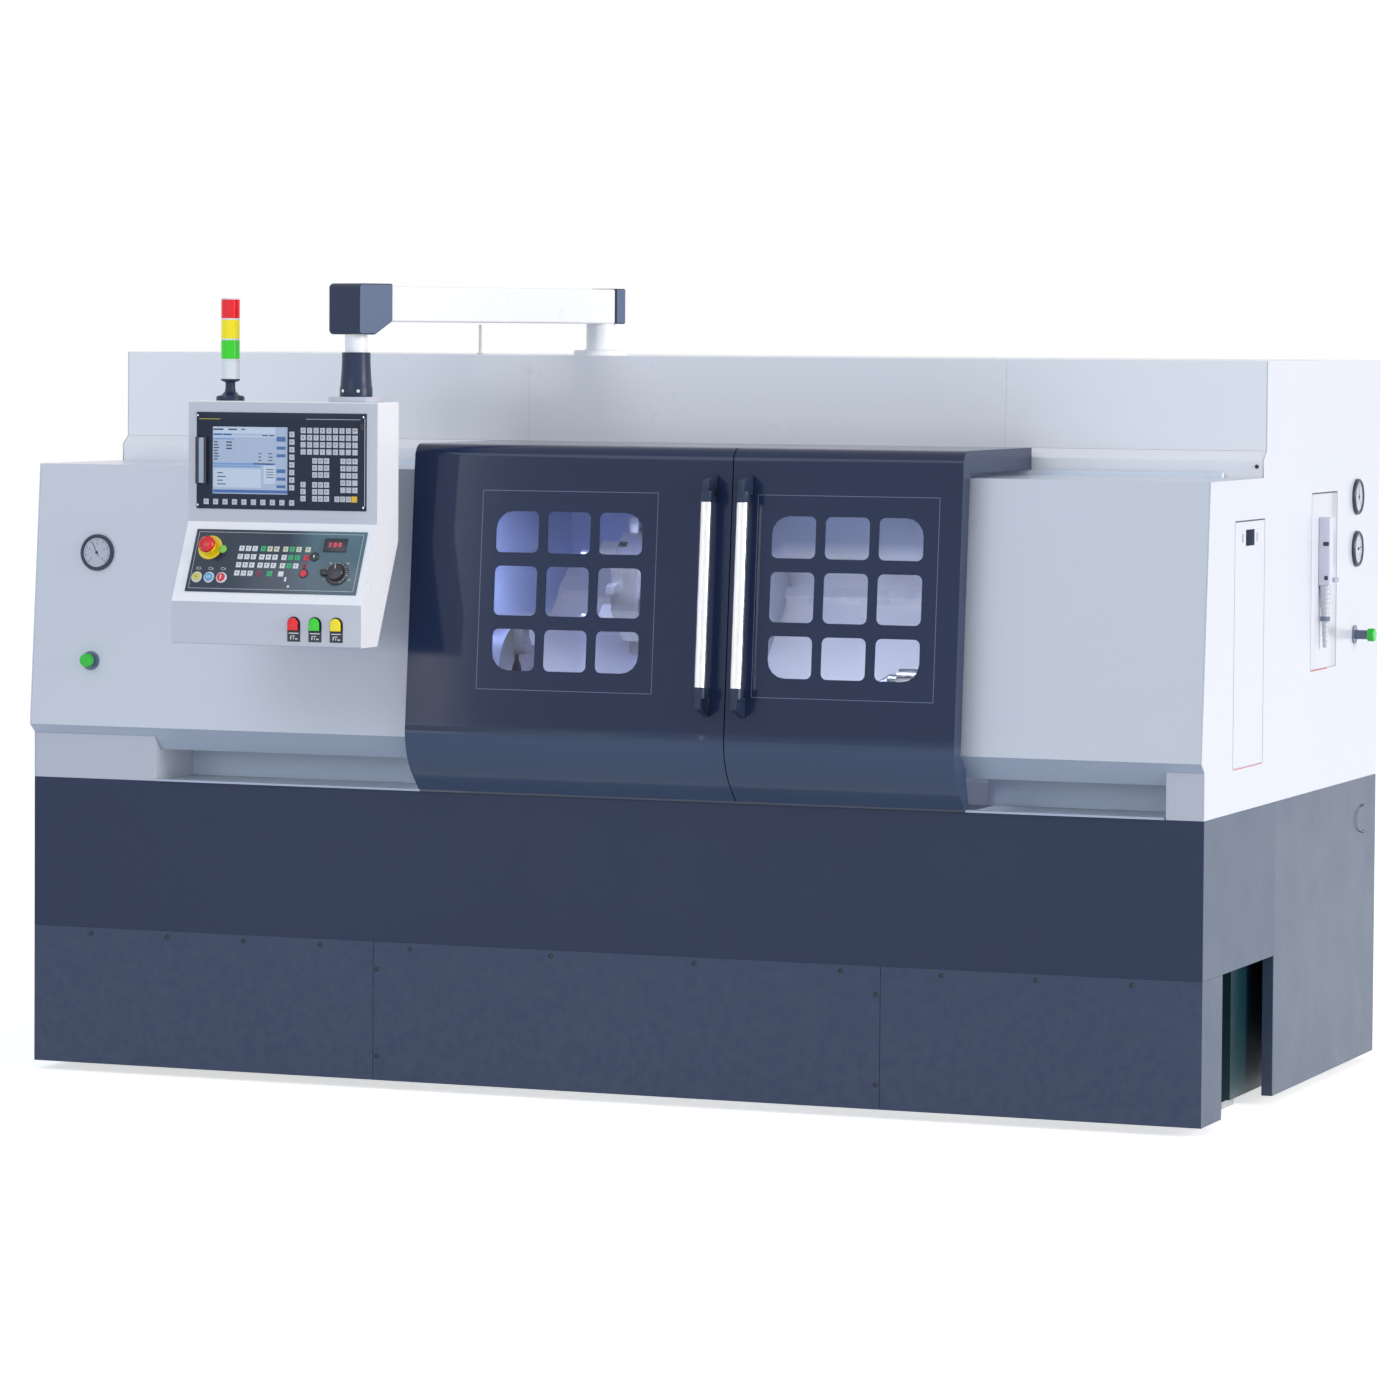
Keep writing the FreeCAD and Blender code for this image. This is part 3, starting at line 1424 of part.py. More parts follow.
post_y = front + post_back
beam_z = box_top + beam_rise
elbow_low = beam_z - elbow_under
elbow_high = beam_z + beam_height + elbow_over
collar_top = box_top + drop_end_rise


def make_boom_post():
    shoulder = beam_rise - pin_play * 4
    column = stacked("post_column", wide_sides, [
        (nothing, post_flange, post_flange_radius), (post_flange, shoulder, post_radius)])
    pin = cylinder("post_pin", (0, 0, shoulder - 1), pin_radius, pin_length + pin_play * 4 + 1)
    keep("boom_post", place(fuse("boom_post", [column, pin]), -post_x, post_y, box_top))


def on_boom(thing):
    """Turn a piece about the post: its own X points from the post to the elbow."""
    return place(thing, -post_x, post_y, 0, (0, 0, 1), boom_turn)


def make_boom_arm():
    beam = box("beam_bar", (-beam_over, -beam_width / 2, beam_z),
               (boom_reach - elbow_behind, beam_width / 2, beam_z + beam_height))
    bore = cylinder("beam_bore", (0, 0, beam_z - 1), pin_radius + pin_play, pin_length + 2)
    bored = cut("beam_bored", beam, [bore])
    drop = turned("drop_tube", [
        (0, collar_top - swivel_pin_length), (swivel_pin_radius, collar_top - swivel_pin_length),
        (swivel_pin_radius, collar_top + pin_play * 4), (drop_radius, collar_top + pin_play * 4),
        (drop_radius, elbow_low - seam), (0, elbow_low - seam)])
    place(drop, boom_reach, 0, 0)
    keep("boom_arm", on_boom(group("boom_arm", [beam_rounded(bored), drop])))


def beam_rounded(bored):
    doc.recompute()
    picks = []
    for corner in ((-beam_width / 2, beam_z), (beam_width / 2, beam_z),
                   (-beam_width / 2, beam_z + beam_height), (beam_width / 2, beam_z + beam_height)):
        for edge_name in edges_along(bored.Shape, "x", [corner]):
            picks.append((int(edge_name[4:]), 6.0, 6.0))
    rounding = doc.addObject("Part::Fillet", "beam_rounded")
    rounding.Base = bored
    rounding.Edges = picks
    return rounding


def make_boom_ends():
    start = boom_reach - elbow_behind + seam
    end = boom_reach + elbow_ahead
    half_width = elbow_width / 2
    elbow = new_body("elbow")
    side = draw(elbow, "XZ_Plane", "elbow_side", [[
        (start, elbow_low + 36), (boom_reach - 14, elbow_low), (end - 10, elbow_low),
        (end, elbow_low + 12), (end, elbow_high - 12), (end - 10, elbow_high),
        (start, elbow_high)]])
    pad(elbow, side, elbow_width, both_ways=True)
    cap = new_body("end_cap")
    far = -beam_over - cap_length
    rim = draw(cap, "XY_Plane", "cap_plan", [[
        (-beam_over - seam, -half_width + 8), (-beam_over - seam, half_width - 8),
        (far + 14, half_width - 8), (far, half_width - 24), (far, -half_width + 24),
        (far + 14, -half_width + 8)]], offset=beam_z)
    pad(cap, rim, beam_height + 2)
    pivot = cylinder("cap_bore", (0, 0, beam_z - 1), pin_radius + pin_play, pin_length + 2)
    keep("boom_ends", on_boom(group("boom_ends", [elbow, cut("cap_bored", cap, [pivot])])))


# ---------------------------------------------------------------- console

console_left = cell("console_left", 1050)
console_width = cell("console_width", 552)
console_ahead = cell("console_ahead", 310)
console_depth = cell("console_depth", 134)
desk_lean = cell("desk_lean", 25.3)
console_heel = cell("console_heel", 4)
console_hang = cell("console_hang", 131)
console_top = collar_top - console_hang
upper_face = cell("upper_face", 321)
desk_drop = cell("desk_drop", 209)
console_height = cell("console_height", 642)
back_drop = cell("back_drop", 369)
console_round = cell("console_round", 4)
console_wall = cell("console_wall", 2.5)
cover_lift = cell("cover_lift", 6)
collar_low_radius = cell("collar_low_radius", 42)
collar_high_radius = cell("collar_high_radius", 38)
collar_plate = cell("collar_plate", 110)
collar_plate_height = cell("collar_plate_height", 14)
display_left = cell("display_left", 24)
display_width = cell("display_width", 497)
display_drop = cell("display_drop", 30)
display_height = cell("display_height", 257)
display_depth = cell("display_depth", 5)
display_proud = cell("display_proud", 3)
screen_left = cell("screen_left", 71)
screen_width = cell("screen_width", 221)
screen_drop = cell("screen_drop", 67)
screen_height = cell("screen_height", 180)
screen_sink = cell("screen_sink", 2)
desk_left = cell("desk_left", 33)
desk_width = cell("desk_width", 498)
desk_low = cell("desk_low", 28)
desk_height = cell("desk_height", 180)
desk_plate = cell("desk_plate", 3)
key_size = cell("key_size", 15)
key_height = cell("key_height", 1.6)
soft_key_x = cell("soft_key_x", 281)
soft_key_drop = cell("soft_key_drop", 57)
soft_key_pitch = cell("soft_key_pitch", 20.1)
row_key_x = cell("row_key_x", 30)
row_key_drop = cell("row_key_drop", 238)
row_key_pitch = cell("row_key_pitch", 27.8)
bank_x = cell("bank_x", 314)
letter_drop = cell("letter_drop", 46)
letter_pitch = cell("letter_pitch", 18.8)
arrow_x = cell("arrow_x", 348)
arrow_drop = cell("arrow_drop", 126)
arrow_pitch_x = cell("arrow_pitch_x", 17.2)
arrow_pitch_z = cell("arrow_pitch_z", 18.4)
page_drop = cell("page_drop", 189)
number_x = cell("number_x", 430)
number_pitch = cell("number_pitch", 19)
edit_x = cell("edit_x", 413)
edit_drop = cell("edit_drop", 226)
edit_pitch = cell("edit_pitch", 16.6)
desk_key_pitch = cell("desk_key_pitch", 19.2)
desk_row_pitch = cell("desk_row_pitch", 23.7)
desk_key_rise = cell("desk_key_rise", 126)
desk_bank_one = cell("desk_bank_one", 143)
desk_bank_two = cell("desk_bank_two", 206)
desk_bank_three = cell("desk_bank_three", 271)
desk_bank_four = cell("desk_bank_four", 336)
bezel_radius = cell("bezel_radius", 15)
button_radius = cell("button_radius", 11)
bezel_height = cell("bezel_height", 5)
button_play = cell("button_play", 0.05)
button_proud = cell("button_proud", 3)
button_travel = cell("button_travel", 3)
plunger_length = cell("plunger_length", 4.8)
estop_collar_radius = cell("estop_collar_radius", 34)
estop_hub_radius = cell("estop_hub_radius", 15)
estop_hub_height = cell("estop_hub_height", 14)
estop_neck_radius = cell("estop_neck_radius", 11)
estop_head_radius = cell("estop_head_radius", 23)
estop_head_height = cell("estop_head_height", 17)
estop_travel = cell("estop_travel", 5)
estop_rim = cell("estop_rim", 3)
estop_neck_depth = cell("estop_neck_depth", 8)
run_gap = cell("run_gap", 0.3)
dial_radius = cell("dial_radius", 33)
dial_skirt = cell("dial_skirt", 7)
dial_grip = cell("dial_grip", 22)
dial_height = cell("dial_height", 20)
dial_spigot = cell("dial_spigot", 5)
dial_stud_length = cell("dial_stud_length", 14)
crank_reach = cell("crank_reach", 27)
crank_radius = cell("crank_radius", 4.5)
crank_length = cell("crank_length", 30)
tower_x = cell("tower_x", 90)
tower_radius = cell("tower_radius", 25)
tower_flange = cell("tower_flange", 38)
tower_stem = cell("tower_stem", 13)
tower_flange_height = cell("tower_flange_height", 12)
tower_ring_height = cell("tower_ring_height", 8)
tower_stem_height = cell("tower_stem_height", 57)
lamp_height = cell("lamp_height", 50)
lamp_ring = cell("lamp_ring", 4)

console_x = -console_left
console_end = console_x + console_width
console_y = front - console_ahead
console_back = console_y + console_depth
desk_foot_y = console_y - tan(desk_lean) * desk_drop
desk_top_z = console_top - upper_face
desk_foot_z = desk_top_z - desk_drop
console_low = console_top - console_height
collar_x = -post_x + cos(boom_turn) * boom_reach
collar_y = post_y + sin(boom_turn) * boom_reach


def make_console_box():
    outline = [
        (console_y, console_top), (console_back, console_top),
        (console_back, console_top - back_drop), (console_y + console_heel, console_low),
        (desk_foot_y, console_low), (desk_foot_y, desk_foot_z), (console_y, desk_top_z)]
    body = extruded("console_case", outline, console_x, console_end)
    shelled(body, [(middle(console_x, console_end), console_back,
                    console_top - back_drop / 2)], console_wall)
    rounded(body, "x", [outline[0]] + outline[3:], console_round)
    recess = box("display_recess",
                 (console_x + display_left, console_y - 1,
                  console_top - display_drop - display_height),
                 (console_x + display_left + display_width, console_y + display_depth,
                  console_top - display_drop))
    inside = console_wall + seam
    cover = box("console_cover", (console_x + inside, console_back - console_wall,
                                  console_top - back_drop + cover_lift),
                (console_end - inside, console_back, console_top - inside))
    keep("console_box", group("console_box", [cut("console_open", body, [recess]), cover]))


def on_display(x, drop):
    """A place on the display's front: x from its left edge, drop below its top edge."""
    return console_x + display_left + x, console_top - display_drop - drop


def make_display():
    left, top = on_display(seam, seam)
    right, low = on_display(display_width - seam, display_height - seam)
    face = console_y - display_proud
    plate = box("display_plate", (left, face, low), (right, console_y + display_depth - seam, top))
    screen_x = console_x + screen_left
    screen_top = console_top - screen_drop
    window = box("display_window", (screen_x, face - 1, screen_top - screen_height),
                 (screen_x + screen_width, face + screen_sink, screen_top))
    grip = box("display_grip", (left + 1, face - 9, low + 66), (left + 32, face, top - 66))
    keep("display_unit", fuse("display_unit", [cut("display_bezel", plate, [window]), grip]))
    pane = box("display_pane", (screen_x + seam, face + seam, screen_top - screen_height + seam),
               (screen_x + screen_width - seam, face + screen_sink, screen_top - seam))
    keep("display_screen", group("display_screen", [pane]))


def key_grid(name, x, drop, columns, rows, pitch_x, pitch_z):
    """Keys on the display's front; x and drop give the first key's centre."""
    face = console_y - display_proud
    keys = []
    for row in range(rows):
        for column in range(columns):
            centre_x, centre_z = on_display(x + pitch_x * column, drop + pitch_z * row)
            keys.append(box("%s_%d_%d" % (name, row, column),
                            (centre_x - key_size / 2, face - key_height, centre_z - key_size / 2),
                            (centre_x + key_size / 2, face, centre_z + key_size / 2)))
    return keys


def on_desk(thing, x, rise):
    """Stand a piece on the sloping desk: its own Z points out of the desk."""
    slope_x = console_x + desk_left + x
    out_y = desk_foot_y + sin(desk_lean) * (desk_low + rise)
    out_z = desk_foot_z + cos(desk_lean) * (desk_low + rise)
    return place(thing, slope_x, out_y, out_z, (1, 0, 0), 90 - desk_lean)


def desk_key_spots():
    """Places of the machine panel's keys: three banks of three, and a single last column."""
    spots = []
    for row in range(4):
        rise = desk_key_rise - desk_row_pitch * row
        for start in (desk_bank_one, desk_bank_two, desk_bank_three):
            for column in range(1 if row == 3 and start is not desk_bank_one else 3):
                spots.append((start + desk_key_pitch * column, rise))
        if row < 3:
            spots.append((desk_bank_four, rise))
    return spots


def make_console_keys():
    keys = key_grid("soft_key", soft_key_x, soft_key_drop, 1, 8, 0, soft_key_pitch)
    keys += key_grid("row_key", row_key_x, row_key_drop, 10, 1, row_key_pitch, 0)
    keys += key_grid("letter_key", bank_x, letter_drop, 9, 4, letter_pitch, letter_pitch)
    keys += key_grid("arrow_key", arrow_x, arrow_drop, 3, 3, arrow_pitch_x, arrow_pitch_z)
    keys += key_grid("page_key", arrow_x, page_drop, 3, 3, arrow_pitch_x, arrow_pitch_z)
    keys += key_grid("mode_key", bank_x, page_drop, 1, 3, 0, arrow_pitch_z)
    keys += key_grid("number_key", number_x, arrow_drop, 3, 5, arrow_pitch_x, number_pitch)
    keys += key_grid("edit_key", edit_x, edit_drop, 4, 1, edit_pitch, 0)
    for index, (x, rise) in enumerate(desk_key_spots()):
        key = box("desk_key_%d" % index, (-key_size / 2, -key_size / 2, desk_plate),
                  (key_size / 2, key_size / 2, desk_plate + key_height))
        keys.append(on_desk(group("desk_key_spot_%d" % index, [key]), x, rise))
    keep("console_keys", group("console_keys", keys))


def bezel(name):
    return stacked(name, round_sides, [(nothing, bezel_height, bezel_radius)],
                   (nothing, bezel_height, button_radius + button_play))


def plunger(name):
    high = bezel_height + button_proud
    return stacked(name, round_sides, [(high - plunger_length, high, button_radius)])


button_rise = cell("button_rise", 40)
button_first = cell("button_first", 29)
button_pitch = cell("button_pitch", 36)
lamp_rise = cell("lamp_rise", 58)
lamp_first = cell("lamp_first", 358)
lamp_pitch = cell("lamp_pitch", 61.5)
estop_x = cell("estop_x", 50)
estop_rise = cell("estop_rise", 126)
dial_x = cell("dial_x", 434)
dial_rise = cell("dial_rise", 58)
led_x = cell("led_x", 380)
led_rise = cell("led_rise", 121)
led_width = cell("led_width", 66)
led_height = cell("led_height", 38)
led_proud = cell("led_proud", 2)
round_buttons = ("button_yellow", "button_blue", "button_red")
lamp_buttons = ("lamp_button_red", "lamp_button_green", "lamp_button_yellow")


def button_x(index):
    return button_first + button_pitch * index


def lamp_x(index):
    return lamp_first + lamp_pitch * index


def on_desk_plate(thing, x, rise):
    """Like on_desk, for a piece that stands on the machine panel's plate."""
    raised = group(thing.Name + "_raised", [place(thing, 0, 0, desk_plate)])
    return on_desk(raised, x, rise)


def on_lower_face(thing, x):
    """Fix a turned piece to the upright face below the desk."""
    return place(thing, console_x + x, desk_foot_y, console_low + lamp_rise, (1, 0, 0),
                 quarter_turn)


def make_machine_panel():
    plate = box("desk_panel", (0, 0, 0), (desk_width, desk_height, desk_plate))
    led = box("led_block", (led_x, led_rise, 0),
              (led_x + led_width, led_rise + led_height, desk_plate + led_proud))
    items = [on_desk(group("desk_panel_placed", [fuse("desk_plate_led", [plate, led])]),
                     nothing, nothing)]
    for index, name in enumerate(round_buttons):
        items.append(on_desk_plate(bezel("bezel_" + name), button_x(index), button_rise))
    for index, name in enumerate(lamp_buttons):
        items.append(on_lower_face(bezel("bezel_" + name), lamp_x(index)))
    hub_bore = estop_neck_radius + button_play
    collar = stacked("estop_collar", round_sides, [
        (nothing, estop_rim, estop_collar_radius),
        (estop_rim, estop_hub_height, estop_hub_radius)], (nothing, estop_hub_height, hub_bore))
    items.append(on_desk_plate(collar, estop_x, estop_rise))
    stud = turned("dial_stud", [
        (0, 0), (dial_spigot, 0), (dial_spigot, dial_stud_length), (0, dial_stud_length)])
    items.append(on_desk_plate(stud, dial_x, dial_rise))
    keep("machine_panel", group("machine_panel", items))


def make_controls():
    for index, name in enumerate(round_buttons):
        keep(name, on_desk_plate(plunger(name + "_plunger"), button_x(index), button_rise))
    for index, name in enumerate(lamp_buttons):
        keep(name, on_lower_face(plunger(name), lamp_x(index)))
    hub = estop_hub_height
    lift = hub + estop_travel + run_gap
    top = lift + estop_head_height
    rim = estop_head_radius
    head = stacked("estop_head", round_sides, [
        (hub - estop_neck_depth, lift, estop_neck_radius), (lift, lift + estop_head_height / 2, rim),
        (lift + estop_head_height / 2, top, rim * 0.8)])
    keep("estop_button", on_desk_plate(head, estop_x, estop_rise))
    skirt = run_gap + dial_skirt
    wheel = stacked("dial_turning", round_sides, [
        (run_gap, skirt, dial_radius), (skirt, dial_height, dial_grip)])
    well = cylinder("dial_bore", (0, 0, 0), dial_spigot + button_play, dial_stud_length + run_gap)
    dial = cut("dial_bored", wheel, [well])
    handle = place(stacked("dial_crank", 8, [
        (skirt - 1, skirt + crank_length, crank_radius)]), -crank_reach, 0, 0)
    keep("override_dial", on_desk_plate(fuse("dial_wheel", [dial, handle]), dial_x, dial_rise))


def make_swivel_collar():
    bore = swivel_pin_radius + pin_play
    low = console_top + collar_plate_height
    floor = collar_top - swivel_pin_length - pin_play * 6
    waist = middle(low, collar_top)
    outside = stacked("collar_sleeve", round_sides, [
        (low - 1, waist, collar_low_radius), (waist, collar_top, collar_high_radius)])
    well = cylinder("collar_well", (0, 0, floor), bore, collar_top - floor + 1)
    sleeve = cut("collar_bored", outside, [well])
    plate = box("collar_plate_block", (-collar_plate / 2, -collar_plate / 2, console_top),
                (collar_plate / 2, collar_plate / 2, low))
    keep("swivel_collar", place(fuse("swivel_collar", [sleeve, plate]), collar_x, collar_y, 0))


def make_tower_light():
    stem_top = tower_stem_height
    base = stacked("tower_base", round_sides, [
        (nothing, tower_flange_height, tower_flange),
        (tower_flange_height, stem_top - tower_ring_height, tower_stem),
        (stem_top - tower_ring_height, stem_top, tower_radius - 3)])
    pieces = [base]
    height = stem_top
    for index in range(4):
        high = height + lamp_height
        pieces.append(stacked("tower_lamp_%d" % index, round_sides,
                              [(height, high, tower_radius)]))
        height = high + lamp_ring
        pieces.append(stacked("tower_ring_%d" % index, round_sides,
                              [(high, height, tower_radius - 0.6)]))
    tower_y = middle(console_y, console_back)
    assembly = group("tower_light", pieces)
    keep("tower_light", place(assembly, console_x + tower_x, tower_y, console_top))


# ---------------------------------------------------------------- build and write

make_bed_casting()
make_levelling_feet()
make_front_band()
make_kick_panels()
make_side_base_panels()
make_rear_panels()
make_side_walls()
make_hoods()
make_toe_blocks()
make_roof_box()
make_doors()
make_door_rails()
make_chamber_walls()
make_chip_chute()
make_headstock()
make_spindle()
make_chuck()
for jaw_index in range(3):
    make_jaw(jaw_index)
make_guide_rails()
make_saddle()
make_cross_slide()
make_turret_disc()
make_turret_tools()
make_tailstock()
make_quill()
make_gauges()
make_regulators()
make_side_hatch()
make_lubricator()
make_boom_post()
make_boom_arm()
make_boom_ends()
make_console_box()
make_display()
make_console_keys()
make_machine_panel()
make_controls()
make_swivel_collar()
make_tower_light()
doc.recompute()

for thing in doc.Objects:
    if "Invalid" in thing.State or "Error" in thing.State:
        raise RuntimeError("%s is %s" % (thing.Name, thing.State))
for name, thing in finished.items():
    if thing.Shape.isNull() or not thing.Shape.isValid():
        raise RuntimeError("%s has no valid shape" % name)
for name, thing in finished.items():
    thing.Shape.exportStep("parts/%s.step" % name)
    bounds = thing.Shape.BoundBox
    print("%-22s solids %3d  volume %12.0f  X %8.1f %8.1f  Y %8.1f %8.1f  Z %7.1f %7.1f" % (
        name, len(thing.Shape.Solids), thing.Shape.Volume, bounds.XMin, bounds.XMax,
        bounds.YMin, bounds.YMax, bounds.ZMin, bounds.ZMax))
print(len(finished), "sub-parts")
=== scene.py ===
# %% [markdown]
# # A slant-bed turning lathe, dressed for a portrait
#
# The machine is a long sheet-metal box on a cast-iron bed: dark covers below, pale covers above, two
# sliding doors with nine panes each, and a control console that hangs from a swinging boom. The packed
# construction model gives every cover its place and size. This lesson paints it and adds the small
# things that make it look real: screws, dials, keys, seals and lamps.

# %% Load the construction model
import json
import math

import bmesh
import bpy
from mathutils import Matrix, Vector

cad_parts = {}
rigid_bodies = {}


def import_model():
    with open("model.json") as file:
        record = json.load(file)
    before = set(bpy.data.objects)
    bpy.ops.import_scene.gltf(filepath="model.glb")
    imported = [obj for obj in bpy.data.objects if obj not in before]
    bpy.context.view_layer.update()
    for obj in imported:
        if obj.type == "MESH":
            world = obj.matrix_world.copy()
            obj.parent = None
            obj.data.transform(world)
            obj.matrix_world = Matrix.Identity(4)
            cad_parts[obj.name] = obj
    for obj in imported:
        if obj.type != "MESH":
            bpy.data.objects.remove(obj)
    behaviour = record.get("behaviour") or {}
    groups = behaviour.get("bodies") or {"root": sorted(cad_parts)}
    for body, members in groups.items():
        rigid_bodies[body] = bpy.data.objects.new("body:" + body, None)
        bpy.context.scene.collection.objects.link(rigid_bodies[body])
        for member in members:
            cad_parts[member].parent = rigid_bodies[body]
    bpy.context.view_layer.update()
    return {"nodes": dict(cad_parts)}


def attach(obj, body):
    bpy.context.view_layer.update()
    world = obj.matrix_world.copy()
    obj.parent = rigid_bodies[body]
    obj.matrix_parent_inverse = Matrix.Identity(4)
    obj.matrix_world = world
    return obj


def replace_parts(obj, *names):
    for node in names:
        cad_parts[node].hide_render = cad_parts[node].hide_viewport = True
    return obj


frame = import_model()
nodes = frame["nodes"]

# %% [markdown]
# ## The camera
#
# The portrait is taken from the right of the operator's place, a long way off, with a long lens: the
# upright edges stay almost parallel and the right side wall shows as a narrow strip. The place and turn
# come from fitting a pinhole camera to the straight edges of the covers, so they are written as numbers.

# %% Camera
def place_camera(spot, yaw, pitch, roll, focal, shift):
    """A camera that looks along yaw (from +Y, to the left) and pitch (downwards), in degrees."""
    yaw, pitch, roll = (math.radians(angle) for angle in (yaw, pitch, roll))
    ahead = Vector((-math.sin(yaw) * math.cos(pitch), math.cos(yaw) * math.cos(pitch), -math.sin(pitch)))
    right = Vector((math.cos(yaw), math.sin(yaw), 0))
    up = right.cross(ahead)
    side = math.cos(roll) * right + math.sin(roll) * up
    top = -math.sin(roll) * right + math.cos(roll) * up
    data = bpy.data.cameras.new("portrait_camera")
    data.sensor_width = 36
    data.lens = focal
    data.shift_x, data.shift_y = shift
    data.clip_end = 100
    camera = bpy.data.objects.new("portrait_camera", data)
    camera.matrix_world = Matrix((side, top, -ahead)).transposed().to_4x4()
    camera.location = spot
    bpy.context.scene.collection.objects.link(camera)
    return camera


camera = place_camera((5.65686, -14.72162, 2.04007), 21.175, 2.451, 0.383, 144.7, (-0.0064, -0.0884))
bpy.context.scene.camera = camera
bpy.context.scene.view_settings.view_transform = "Standard"
print("camera stands at", [round(part, 2) for part in camera.location])

# %% [markdown]
# ## The studio
#
# The machine stands on a white sweep with soft light from all round. Its world and its floor are made
# of shader nodes, as every finish is, so a few helpers come first: they add a node, link or set a
# socket, and do one step of arithmetic.

# %% Node helpers
def new_material(name):
    """An empty node material: its output, and handles to add nodes and links."""
    material = bpy.data.materials.new(name)
    material.use_nodes = True
    material.node_tree.nodes.clear()
    return material


def add_node(tree, kind, **settings):
    node = tree.nodes.new(kind)
    for key, value in settings.items():
        setattr(node, key, value)
    return node


def feed(tree, value, socket):
    """Link another socket to a socket, or set it to a number or a colour."""
    if isinstance(value, bpy.types.NodeSocket):
        tree.links.new(value, socket)
    else:
        socket.default_value = value


def reckon(tree, operation, *values, clamp=False):
    """One step of arithmetic on numbers and sockets."""
    node = add_node(tree, "ShaderNodeMath", operation=operation, use_clamp=clamp)
    for value, socket in zip(values, node.inputs):
        feed(tree, value, socket)
    return node.outputs[0]


print("node helpers are ready")

# %% [markdown]
# ## World
#
# The background could be a picture or a painted wall. Here it is white by its own colour: the world
# shows pure white to the camera and to mirrors, but lights the machine more gently, because a white
# world at full strength would wash the pale covers out.

# %% World
def white_to_the_eye(tree):
    """Returns a mask that is 1 for camera, mirror and glass rays."""
    path = add_node(tree, "ShaderNodeLightPath")
    seen = reckon(tree, "MAXIMUM", path.outputs["Is Camera Ray"], path.outputs["Is Glossy Ray"])
    return reckon(tree, "MAXIMUM", seen, path.outputs["Is Transmission Ray"])


def make_world(strength):
    world = bpy.data.worlds.new("studio")
    world.use_nodes = True
    tree = world.node_tree
    tree.nodes.clear()
    mix = add_node(tree, "ShaderNodeMixShader")
    output = add_node(tree, "ShaderNodeOutputWorld")
    tree.links.new(white_to_the_eye(tree), mix.inputs[0])
    for slot, colour, power in ((1, (0.80, 0.89, 1.0, 1), strength), (2, (1, 1, 1, 1), 1.0)):
        sky = add_node(tree, "ShaderNodeBackground")
        sky.inputs["Color"].default_value = colour
        sky.inputs["Strength"].default_value = power
        tree.links.new(sky.outputs[0], mix.inputs[slot])
    tree.links.new(mix.outputs[0], output.inputs["Surface"])
    bpy.context.scene.world = world


make_world(0.5)
print("world:", bpy.context.scene.world.name)

# %% [markdown]
# ## Floor
#
# A real sweep curves up behind the object. A flat sheet does the same here, since its far edge is lost
# in the white. It takes the machine's soft contact shadow, and its own faint glow lifts the rest.

# %% Floor
def make_floor(lift):
    """A wide white sheet whose own glow, seen only by the eye, keeps the ground white."""
    form = bmesh.new()
    bmesh.ops.create_grid(form, x_segments=1, y_segments=1, size=60)
    mesh = bpy.data.meshes.new("floor")
    form.to_mesh(mesh)
    form.free()
    floor = bpy.data.objects.new("floor", mesh)
    bpy.context.scene.collection.objects.link(floor)
    material = new_material("floor_white")
    tree = material.node_tree
    matt = add_node(tree, "ShaderNodeBsdfDiffuse")
    matt.inputs["Color"].default_value = (0.86, 0.87, 0.89, 1)
    glow = add_node(tree, "ShaderNodeEmission")
    glow.inputs["Color"].default_value = (1, 1, 1, 1)
    tree.links.new(reckon(tree, "MULTIPLY", white_to_the_eye(tree), lift), glow.inputs["Strength"])
    both = add_node(tree, "ShaderNodeAddShader")
    output = add_node(tree, "ShaderNodeOutputMaterial")
    tree.links.new(matt.outputs[0], both.inputs[0])
    tree.links.new(glow.outputs[0], both.inputs[1])
    tree.links.new(both.outputs[0], output.inputs["Surface"])
    mesh.materials.append(material)


make_floor(0.66)
print("floor is staged")

# %% [markdown]
# ## Lamps
#
# A large key lamp hangs to the right and two weaker ones in front. The right side wall faces the key
# and goes nearly white, while the front stays a shade darker, which is what gives the long box its
# form. A tall narrow strip lamp is there only for its reflection, the soft upright streak in the gloss
# of the left door.

# %% Lamps
def hang_lamp(name, spot, target, width, height, power, colour=(1, 1, 1)):
    """An area lamp that looks at a target and that the camera doesn't see."""
    data = bpy.data.lights.new(name, "AREA")
    data.shape = "RECTANGLE"
    data.size = width
    data.size_y = height
    data.energy = power
    data.color = colour
    lamp = bpy.data.objects.new(name, data)
    lamp.location = spot
    lamp.rotation_euler = (Vector(target) - Vector(spot)).to_track_quat("-Z", "Y").to_euler()
    lamp.visible_camera = False
    bpy.context.scene.collection.objects.link(lamp)
    return lamp


key = hang_lamp("key_lamp", (29.6, -3.0, 8.8), (0.4, -0.2, 1.2), 12.0, 12.0, 6200, (1.0, 0.945, 0.935))
high_lamp = hang_lamp("high_lamp", (-3.0, -9.0, 6.5), (0, 0, 1.0), 6.0, 4.0, 145, (0.84, 0.91, 1.0))
low_lamp = hang_lamp("low_lamp", (-2.0, -12.0, 1.3), (0, 0, 0.9), 8.0, 1.6, 150, (0.80, 0.88, 1.0))
low_lamp.visible_glossy = False
strip = hang_lamp("strip_lamp", (-3.75, -8.4, 1.35), (-0.43, -1.0, 1.35), 0.16, 5.0, 10)
print("lamps:", [(lamp.name, lamp.data.energy) for lamp in (key, high_lamp, low_lamp, strip)])

# %% [markdown]
# ## Shared finishes
#
# Almost nothing on a machine is one flat colour. Three effects are used again and again, so each is a
# node group with named inputs: a drift of tone with settled dust low down, a fine orange peel or grain,
# and the drawn-out lines of brushed or turned metal. Each gives only colours, numbers and heights; the
# shader itself stays in the material, where its own constants are set. These helpers build a group and
# the few nodes that all three share.

